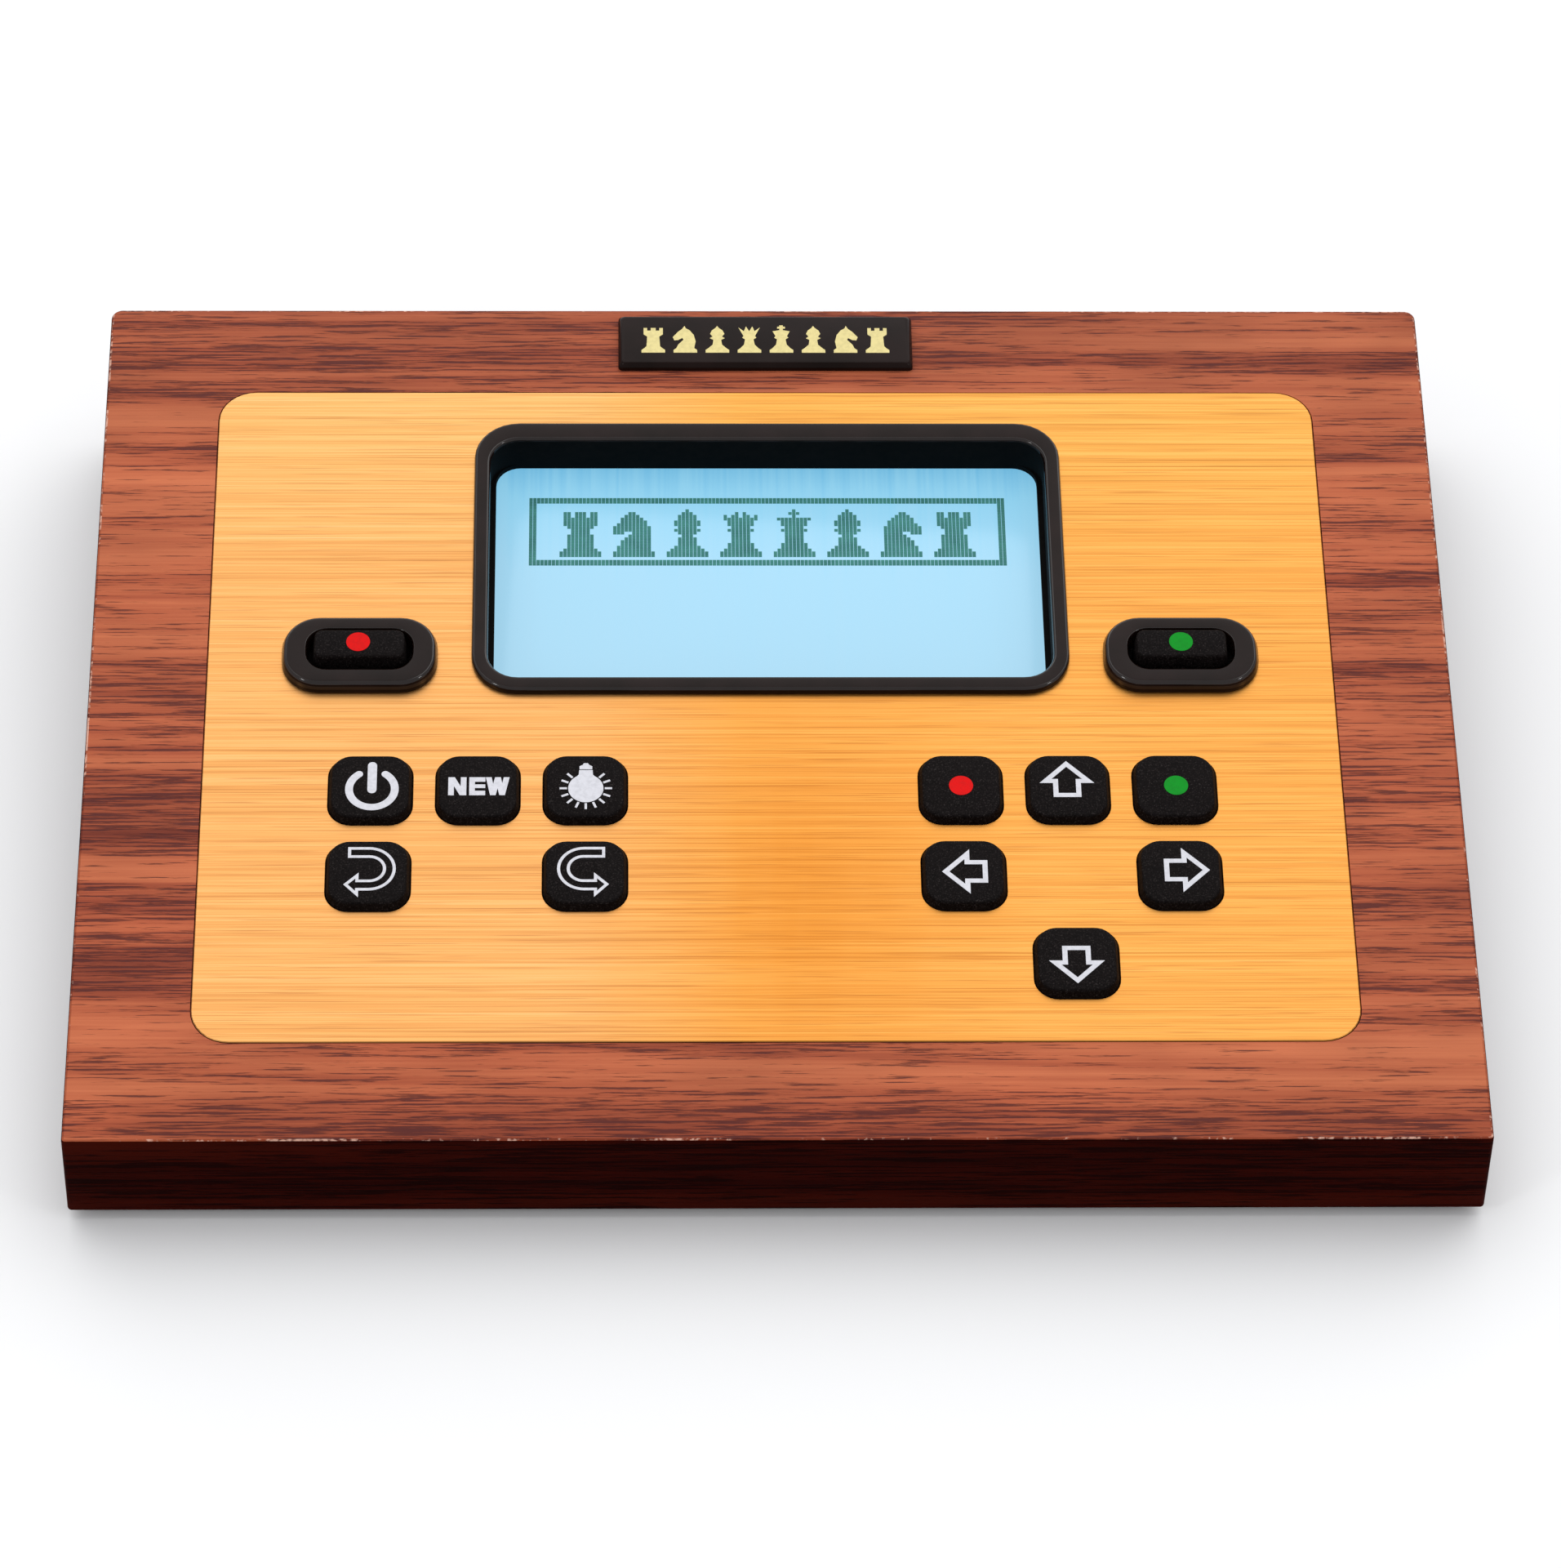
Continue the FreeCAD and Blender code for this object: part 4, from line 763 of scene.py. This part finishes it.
def soften(node, width):
    """Weld a carried-over part's facets and take the sharpness off its edges."""
    part = frame["nodes"][node]
    merge = part.modifiers.new("merge", "WELD")
    merge.merge_threshold = 0.002 * MM
    edges = part.modifiers.new("edges", "BEVEL")
    edges.width = width * MM
    edges.segments = 2
    edges.limit_method = "ANGLE"
    edges.angle_limit = math.radians(50)
    edges.harden_normals = True


def finish_node(node, material):
    """Give a carried-over part its finish."""
    part = frame["nodes"][node]
    part.data.materials.clear()
    part.data.materials.append(material)


def make_bezel():
    """The glossy ring and its well down to the glass."""
    x, y = panel_centre("lcd_glass")
    window_y = y + WINDOW_SHIFT
    lip_level = LIP_HEIGHT - BOARD_THICKNESS
    rings = [ring(*NECK, -BOARD_THICKNESS, x, y), ring(*NECK, PLATE_TOP, x, y),
             ring(*BEZEL, PLATE_TOP, x, y)]
    rings += outer_edge(BEZEL, BEZEL_TOP, BEZEL_EDGE, x, y)
    rings += inner_edge(WINDOW, BEZEL_TOP, BEZEL_EDGE, x, window_y)
    rings += [ring(*WINDOW, lip_level, x, window_y), ring(*LIP, lip_level, x, window_y),
              ring(*LIP, -BOARD_THICKNESS, x, window_y)]
    piece = skin("bezel_ring", rings, loop_back=True)
    stand_in(piece, "display_bezel", BLACK)
    brighten_edge_highlights(piece)
    # The walls of the well get the darker painted-shade black.
    piece.data.materials.append(WELL_PAINTED_SHADE_BLACK)
    for face in piece.data.polygons:
        centre = PANEL.inverted() @ face.center / MM
        inside_window = abs(centre.x) < (WINDOW[0] + 0.1) / 2 and (
            abs(centre.y - window_y) < (WINDOW[1] + 0.1) / 2)
        if inside_window and centre.z < BEZEL_TOP - BEZEL_EDGE - 0.1:
            face.material_index = 2


def make_collar(side):
    """The raised oval collar round a long key."""
    node = side + "_key_collar"
    x, y = panel_centre(node)
    opening_y = y + COLLAR_OPENING_SHIFT
    rings = [ring(*COLLAR_NECK, COLLAR_NECK_BOTTOM, x, y), ring(*COLLAR_NECK, PLATE_TOP, x, y),
             ring(*COLLAR, PLATE_TOP, x, y), ring(*COLLAR, COLLAR_RIM_TOP, x, y)]
    rings += outer_edge(grown(COLLAR, -COLLAR_STEP / 2), COLLAR_TOP, COLLAR_EDGE, x, y)
    rings += inner_edge(COLLAR_OPENING, COLLAR_TOP, COLLAR_OPENING_EDGE, x, opening_y)
    rings.append(ring(*COLLAR_OPENING, COLLAR_NECK_BOTTOM, x, opening_y))
    piece = skin(side + "_collar_ring", rings, loop_back=True)
    stand_in(piece, node, BLACK)
    brighten_edge_highlights(piece)


def make_nameplate():
    """The bevelled black plate and its gold row of chess pieces."""
    x, y = panel_centre("nameplate")
    rings = [ring(NAMEPLATE_WIDTH - 2 * inset, NAMEPLATE_DEPTH - 2 * inset, radius, level, x, y)
             for inset, level, radius in NAMEPLATE_BEVEL]
    piece = skin("nameplate_block", rings)
    stand_in(piece, "nameplate", PLATE_BLACK)
    outlines = []
    for index, figure in enumerate(BACK_RANK):
        middle = x + (index - 3.5) * NAMEPLATE_FIGURE_PITCH
        outlines.append([(middle + NAMEPLATE_FIGURE_HEIGHT * px,
                          y + NAMEPLATE_FIGURE_HEIGHT * (py - 0.5)) for px, py in figure])
    make_print("nameplate_figures", outlines, NAMEPLATE_TOP, GOLD_INK, "case")


# Chess figures, as outlines one unit high about a centre line

def mirrored(half):
    """A whole outline from its right half, read from the foot up."""
    return half + [(-x, y) for x, y in reversed(half) if x > 0]


FOOT = [(0.33, 0.0), (0.33, 0.10), (0.25, 0.17)]
ROOK = mirrored(FOOT + [(0.19, 0.24), (0.17, 0.60), (0.27, 0.68), (0.27, 0.92), (0.17, 0.92),
                        (0.17, 0.82), (0.07, 0.82), (0.07, 0.92)])
BISHOP = mirrored(FOOT + [(0.13, 0.30), (0.11, 0.48), (0.21, 0.54), (0.13, 0.60), (0.20, 0.70),
                          (0.15, 0.83), (0.05, 0.92), (0.0, 1.0)])
QUEEN = mirrored(FOOT + [(0.15, 0.30), (0.12, 0.50), (0.20, 0.56), (0.16, 0.62), (0.30, 0.94),
                         (0.15, 0.80), (0.09, 0.98), (0.0, 0.80)])
KING = mirrored(FOOT + [(0.15, 0.30), (0.12, 0.50), (0.20, 0.56), (0.16, 0.62), (0.24, 0.80),
                        (0.05, 0.84), (0.05, 0.90), (0.11, 0.90), (0.11, 0.97), (0.05, 0.97),
                        (0.05, 1.02)])
KNIGHT = [(-0.33, 0.0), (0.33, 0.0), (0.33, 0.10), (0.25, 0.17), (0.29, 0.42), (0.24, 0.66),
          (0.12, 0.84), (0.02, 0.90), (-0.02, 1.0), (-0.09, 0.88), (-0.20, 0.78),
          (-0.35, 0.58), (-0.31, 0.46), (-0.20, 0.47), (-0.08, 0.55), (-0.05, 0.48),
          (-0.20, 0.30), (-0.25, 0.17), (-0.33, 0.10)]
BACK_RANK = [ROOK, KNIGHT, BISHOP, QUEEN, KING, BISHOP,
             [(-x, y) for x, y in reversed(KNIGHT)], ROOK]


# Printing: thin slabs of ink on a face

def make_print(name, outlines, level, material, body, layer=0.0):
    """Filled outlines, given in millimetres on the panel, as a thin film on a face.

    Each outline lies one layer above the one before, so that overlapping ones don't fight."""
    mesh_data = bmesh.new()
    for order, outline in enumerate(outlines):
        low, high = [add_row(mesh_data, [(x, y, level + lift + order * layer) for x, y in outline])
                     for lift in (-PRINT_LIFT, PRINT_LIFT)]
        mesh_data.faces.new(high)
        mesh_data.faces.new(low[::-1])
        add_band(mesh_data, low, high)
    piece = finish_mesh(name, mesh_data, PANEL)
    return stand_in(piece, None, material, body)


def disc(x, y, radius, steps=40):
    """A round outline."""
    turns = [2 * math.pi * step / steps for step in range(steps)]
    return [(x + radius * math.cos(turn), y + radius * math.sin(turn)) for turn in turns]


def arc(x, y, radius, start, stop, steps=20):
    """Points along an arc between two angles in degrees."""
    points = []
    for step in range(steps + 1):
        turn = math.radians(start + (stop - start) * step / steps)
        points.append((x + radius * math.cos(turn), y + radius * math.sin(turn)))
    return points


def stroke(path, width, closed=False):
    """Four-sided outlines that draw a line of one width along a path, mitred at its corners."""
    points = [Vector(point) for point in path]
    count = len(points)
    left, right = [], []
    for index, point in enumerate(points):
        before = points[index - 1] if closed or index else None
        after = points[(index + 1) % count] if closed or index < count - 1 else None
        normals = []
        for start, stop in ((before, point), (point, after)):
            if start is not None and stop is not None:
                along = (stop - start).normalized()
                normals.append(Vector((-along.y, along.x)))
        middle = sum(normals, Vector((0, 0))).normalized()
        reach = width / 2 / max(middle.dot(normals[0]), 0.35)
        left.append(tuple(point + middle * reach))
        right.append(tuple(point - middle * reach))
    last = count if closed else count - 1
    outlines = []
    for index in range(last):
        after = (index + 1) % count
        outlines.append([left[index], left[after], right[after], right[index]])
    return outlines


def shifted(outlines, x, y):
    """Outlines moved to a place on the panel."""
    return [[(px + x, py + y) for px, py in outline] for outline in outlines]


def power_icon():
    """A ring open at the top, with a bar through the gap."""
    x, y = 0.24, -0.52
    radius = 2.98
    thick = 1.02
    ring_part = stroke(arc(x, y, radius, 125, 415, 40), thick)
    ends = [disc(x + radius * math.cos(math.radians(turn)),
                 y + radius * math.sin(math.radians(turn)), thick / 2, 16) for turn in (125, 55)]
    bar = [arc(x, 3.30, 0.60, 0, 180, 10) + arc(x, -0.62, 0.60, 180, 360, 10)]
    return ring_part + ends + bar


def new_icon():
    """The three letters of the word new, in plain bold strokes."""
    thick = 0.74
    foot, head = -1.56, 1.40
    letter_n = stroke([(-3.47, foot), (-3.47, head)], thick)
    letter_n += stroke([(-1.85, foot), (-1.85, head)], thick)
    letter_n += [[(-3.84, head), (-3.00, head), (-1.48, foot), (-2.32, foot)]]
    letter_e = stroke([(-0.74, foot), (-0.74, head)], thick)
    for level, weight in ((foot + thick / 2, 1.0), (-0.08, 0.8), (head - thick / 2, 1.0)):
        letter_e += stroke([(-0.74, level), (0.98, level)], thick * weight)
    letter_w = []
    for bottom, top in ((1.98, 1.42), (1.98, 2.62), (3.18, 2.62), (3.18, 3.76)):
        letter_w.append([(bottom - 0.36, foot), (bottom + 0.36, foot), (top + 0.38, head),
                         (top - 0.38, head)])
    return letter_n + letter_e + letter_w


def light_icon():
    """A hanging bulb with rays."""
    x, y = 0.07, -0.43
    glass = [disc(x, y, 2.30)]
    neck = [[(x - 1.45, y + 1.6), (x + 1.45, y + 1.6), (x + 0.93, y + 2.25),
             (x + 0.88, y + 3.0), (x - 0.88, y + 3.0), (x - 0.93, y + 2.25)]]
    cap = [[(x - 0.82, y + 3.12), (x + 0.82, y + 3.12), (x + 0.84, y + 3.62),
            (x + 0.42, y + 3.86), (x + 0.26, y + 4.14), (x - 0.26, y + 4.14),
            (x - 0.42, y + 3.86), (x - 0.84, y + 3.62)]]
    rays = []
    for index in range(-6, 7):
        turn = math.radians(-90 + 22.5 * index)
        step = Vector((math.cos(turn), math.sin(turn)))
        centre = Vector((x, y))
        rays += stroke([tuple(centre + step * 2.46), tuple(centre + step * 3.42)], 0.31)
    return glass + neck + cap + rays


def turn_icon(direction):
    """A hollow arrow that turns back: to the left for direction 1, to the right for -1."""
    path = [(-2.40, 3.78)]
    path += arc(0.11, 0.48, 3.30, 90, -90, 24)
    path += [(-1.36, -2.82), (-1.36, -3.60), (-2.82, -2.05), (-1.36, -0.62), (-1.36, -1.48)]
    path += arc(0.20, 0.48, 1.96, -90, 90, 20)
    path += [(-2.40, 2.44)]
    outlines = stroke(path, TURN_STROKE, closed=True)
    return [[(direction * x, y) for x, y in outline] for outline in outlines]


def arrow_icon(turn, x, y):
    """A hollow straight arrow turned by quarter turns, about the middle of its height."""
    path = [(0, 2.48), (2.79, -0.33), (1.49, -0.33), (1.49, -2.64), (-1.49, -2.64),
            (-1.49, -0.33), (-2.79, -0.33)]
    angle = math.radians(turn)
    turned = [(px * math.cos(angle) - py * math.sin(angle) + x,
               px * math.sin(angle) + py * math.cos(angle) + y) for px, py in path]
    return stroke(turned, ARROW_STROKE, closed=True)


ICONS = {
    "power_key": (power_icon(), WHITE_INK),
    "new_game_key": (new_icon(), WHITE_INK),
    "light_key": (light_icon(), WHITE_INK),
    "undo_key": (turn_icon(1), WHITE_INK),
    "redo_key": (turn_icon(-1), WHITE_INK),
    "red_key": ([disc(0, 0, DOT_DIAMETER / 2)], RED_INK),
    "up_key": (arrow_icon(0, -0.15, 1.05), WHITE_INK),
    "green_key": ([disc(0.1, 0, DOT_DIAMETER / 2)], GREEN_INK),
    "left_arrow_key": (arrow_icon(90, 0.05, -0.05), WHITE_INK),
    "right_arrow_key": (arrow_icon(-90, 0.84, 0.15), WHITE_INK),
    "down_key": (arrow_icon(180, -0.05, -0.98), WHITE_INK),
    "left_long_key": ([disc(-0.15, 0.18, DOT_DIAMETER / 2)], RED_INK),
    "right_long_key": ([disc(-0.1, 0.18, DOT_DIAMETER / 2)], GREEN_INK),
}


# Keys

def make_key(node, flange, cap, flange_top, top):
    """A silicone key: a flange under the faceplate and a cap with a soft edge."""
    x, y = panel_centre(node)
    rings = [ring(*flange, KEY_BOTTOM, x, y), ring(*flange, flange_top, x, y),
             ring(*cap, flange_top, x, y), ring(*cap, PLATE_TOP + KEY_STEP, x, y)]
    rings += outer_edge(grown(cap, -KEY_TAPER / 2), top, KEY_EDGE, x, y)
    piece = skin(node + "_cap", rings)
    body = node + "_body"
    stand_in(piece, node, SILICONE, body)
    outlines, material = ICONS[node]
    make_print(node + "_icon", shifted(outlines, x, y), top, material, body,
               layer=STROKE_LAYER)


def make_keys():
    """Every key that the record lists, square or long."""
    for node in ICONS:
        if node.endswith("long_key"):
            make_key(node, LONG_FLANGE, LONG_KEY, LONG_FLANGE_TOP, LONG_KEY_TOP)
        else:
            make_key(node, FLANGE, KEY, FLANGE_TOP, KEY_TOP)


# Display picture

def inside(outline, x, y):
    """Whether a point lies inside an outline, by counting the edges to its right."""
    hit = False
    for (x1, y1), (x2, y2) in zip(outline, outline[1:] + outline[:1]):
        if (y1 > y) != (y2 > y) and x < (x2 - x1) * (y - y1) / (y2 - y1) + x1:
            hit = not hit
    return hit


def picture_dots():
    """The switched-on dots: a double line round the chess figures, as columns and rows."""
    dots = set()
    for column in range(PICTURE_COLUMNS):
        for row in range(PICTURE_ROWS):
            edge = min(column, row, PICTURE_COLUMNS - 1 - column, PICTURE_ROWS - 1 - row)
            if edge < FRAME_LINE:
                dots.add((column, row))
    base_row = (PICTURE_ROWS - FIGURE_ROWS) // 2
    for index, figure in enumerate(BACK_RANK):
        middle = (PICTURE_COLUMNS - 1) / 2 + (index - 3.5) * FIGURE_PITCH
        for column in range(PICTURE_COLUMNS):
            for row in range(base_row, PICTURE_ROWS - FRAME_LINE):
                x = (column - middle) / FIGURE_ROWS
                y = (row - base_row + 0.5) / FIGURE_ROWS
                if inside(figure, x, y):
                    dots.add((column, row))
    return dots


def make_display():
    """The lit glass and the dots that stand dark on it."""
    x, y = panel_centre("lcd_glass")
    top = -BOARD_THICKNESS
    glass = skin("display_glass", [ring(*GLASS, top - GLASS_THICKNESS, x, y),
                                   ring(*GLASS, top - GLASS_EDGE, x, y),
                                   ring(*GLASS_FACE, top, x, y)])
    stand_in(glass, "lcd_glass", LCD_LIGHT)
    half_x = DOT_PITCH_X * DOT_COVER / 2
    half_y = DOT_PITCH_Y * DOT_COVER / 2
    outlines = []
    for column, row in sorted(picture_dots()):
        dot_x = x + (column - (PICTURE_COLUMNS - 1) / 2) * DOT_PITCH_X
        dot_y = PICTURE_CENTRE_Y + (row - (PICTURE_ROWS - 1) / 2) * DOT_PITCH_Y
        outlines.append([(dot_x - half_x, dot_y - half_y), (dot_x + half_x, dot_y - half_y),
                         (dot_x + half_x, dot_y + half_y), (dot_x - half_x, dot_y + half_y)])
    make_print("display_picture", outlines, top + PRINT_LIFT, LCD_INK, "case")


# Underside

def make_feet():
    """Four soft rubber feet with a rounded rim and a shallow ring in the sole."""
    low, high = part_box("rubber_feet")
    outline = [(FOOT_RADIUS, (high[2] - low[2]) / MM)] + SOLE_OUTLINE
    mesh_data = bmesh.new()
    for side in (-1, 1):
        for end in (-1, 1):
            x = side * (high[0] / MM - FOOT_RADIUS)
            y = end * (high[1] / MM - FOOT_RADIUS)
            rows = [add_row(mesh_data, [(px, py, level)
                                        for px, py in disc(x, y, reach, FOOT_STEPS)])
                    for reach, level in outline]
            for lower, upper in zip(rows, rows[1:]):
                add_band(mesh_data, lower, upper)
            mesh_data.faces.new(rows[0])
            mesh_data.faces.new(rows[-1])
    piece = finish_mesh("sole_feet", mesh_data, UPRIGHT)
    rubber = grained("foot_rubber", (0.010, 0.010, 0.010), (0.030, 0.029, 0.028), 0.7, 1800,
                     0.00004)
    stand_in(piece, "rubber_feet", rubber)


def finish_carried_over():
    """Finish the parts whose own shape shows, and those inside."""
    cover = grained("cover_plastic", (0.014, 0.014, 0.014), (0.035, 0.034, 0.034), 0.55, 1500,
                    0.00005)
    socket = grained("socket_plastic", (0.010, 0.010, 0.010), (0.022, 0.022, 0.022), 0.40, 900,
                     0.00002)
    chip = grained("chip_plastic", (0.012, 0.012, 0.013), (0.030, 0.030, 0.032), 0.5, 3000,
                   0.00002)
    mat = grained("grey_silicone", (0.10, 0.10, 0.11), (0.17, 0.17, 0.18), 0.6, 1500, 0.00002)
    carbon = grained("carbon_pill", (0.010, 0.010, 0.010), (0.025, 0.025, 0.025), 0.7, 3000,
                     0.00001)
    raw_wood = wood("raw_blocks", 2, (1.6, 3.6, 4.5))
    guide = grained("light_guide", (0.70, 0.76, 0.80), (0.82, 0.86, 0.90), 0.3, 300, 0.00001)
    ribbon = grained("ribbon", (0.35, 0.36, 0.38), (0.55, 0.56, 0.58), 0.45, 600, 0.00001)
    board = circuit_board()
    finishes = {
        "base_cover": cover, "power_socket": socket, "board_link_socket": socket,
        "processor_chip": chip, "memory_chips": chip, "buzzer": chip, "left_key_mat": mat,
        "right_key_mat": mat, "corner_blocks": raw_wood, "lcd_backlight": guide,
        "key_ribbons": ribbon, "lcd_ribbon": ribbon, "main_board": board, "lcd_board": board,
        "left_key_board": board, "right_key_board": board, "lcd_frame": STEEL,
        "lcd_spacers": STEEL, "base_screws": STEEL, "main_board_screws": STEEL,
        "panel_screws": STEEL,
        "power_capacitors": metal("can_aluminium", (0.60, 0.60, 0.62), (0.78, 0.78, 0.80), 0.3),
    }
    for node, part in frame["nodes"].items():
        if node in finishes:
            finish_node(node, finishes[node])
        elif node.endswith("_pill"):
            finish_node(node, carbon)
    soften("base_cover", 0.2)
    soften("power_socket", 0.12)
    soften("board_link_socket", 0.12)
    soften("base_screws", 0.08)


# Studio

def make_floor():
    """A wide pale floor under the object."""
    mesh = bpy.data.meshes.new("floor")
    corners = [(side * FLOOR_REACH, end * FLOOR_REACH, -FLOOR_DROP * MM)
               for side, end in ((-1, -1), (1, -1), (1, 1), (-1, 1))]
    mesh.from_pydata(corners, [], [(0, 1, 2, 3)])
    floor = bpy.data.objects.new("floor", mesh)
    bpy.context.scene.collection.objects.link(floor)
    mesh.materials.append(studio_floor())


def make_lamp(name, place, aim, size, power):
    """A square soft light turned towards a point."""
    data = bpy.data.lights.new(name, "AREA")
    data.energy = power
    data.size = size
    lamp = bpy.data.objects.new(name, data)
    bpy.context.scene.collection.objects.link(lamp)
    lamp.location = place
    lamp.rotation_mode = "QUATERNION"
    lamp.rotation_quaternion = (Vector(aim) - Vector(place)).to_track_quat("-Z", "Y")


def make_light():
    """A pale surround, one large soft light over the back and two small ones at the front."""
    world = bpy.data.worlds.new("studio")
    bpy.context.scene.world = world
    world.use_nodes = True
    background = world.node_tree.nodes["Background"]
    background.inputs["Color"].default_value = WORLD_COLOUR
    background.inputs["Strength"].default_value = WORLD_STRENGTH
    for name, place, aim, size, power in LAMPS:
        make_lamp(name, place, aim, size, power)


def make_camera():
    """A long lens in front of the object, looking down at the panel."""
    elevation = math.radians(CAMERA_ELEVATION)
    azimuth = math.radians(CAMERA_AZIMUTH)
    back = Vector((math.sin(azimuth) * math.cos(elevation),
                   -math.cos(azimuth) * math.cos(elevation), math.sin(elevation)))
    data = bpy.data.cameras.new("camera")
    data.sensor_width = CAMERA_SENSOR
    data.lens = CAMERA_LENS
    data.clip_start = 0.05
    camera = bpy.data.objects.new("camera", data)
    bpy.context.scene.collection.objects.link(camera)
    camera.location = (Vector(CAMERA_TARGET) + back * CAMERA_DISTANCE) * MM
    camera.rotation_mode = "QUATERNION"
    upright = (-back).to_track_quat("-Z", "Y")
    roll = Matrix.Rotation(math.radians(CAMERA_ROLL), 4, "Z").to_quaternion()
    camera.rotation_quaternion = upright @ roll
    bpy.context.scene.camera = camera


make_camera()
make_light()
make_floor()
bpy.context.scene.view_settings.view_transform = "Standard"
make_top_board()
make_rails()
make_faceplate()
make_bezel()
make_collar("left")
make_collar("right")
make_nameplate()
make_keys()
make_display()
make_feet()
finish_carried_over()
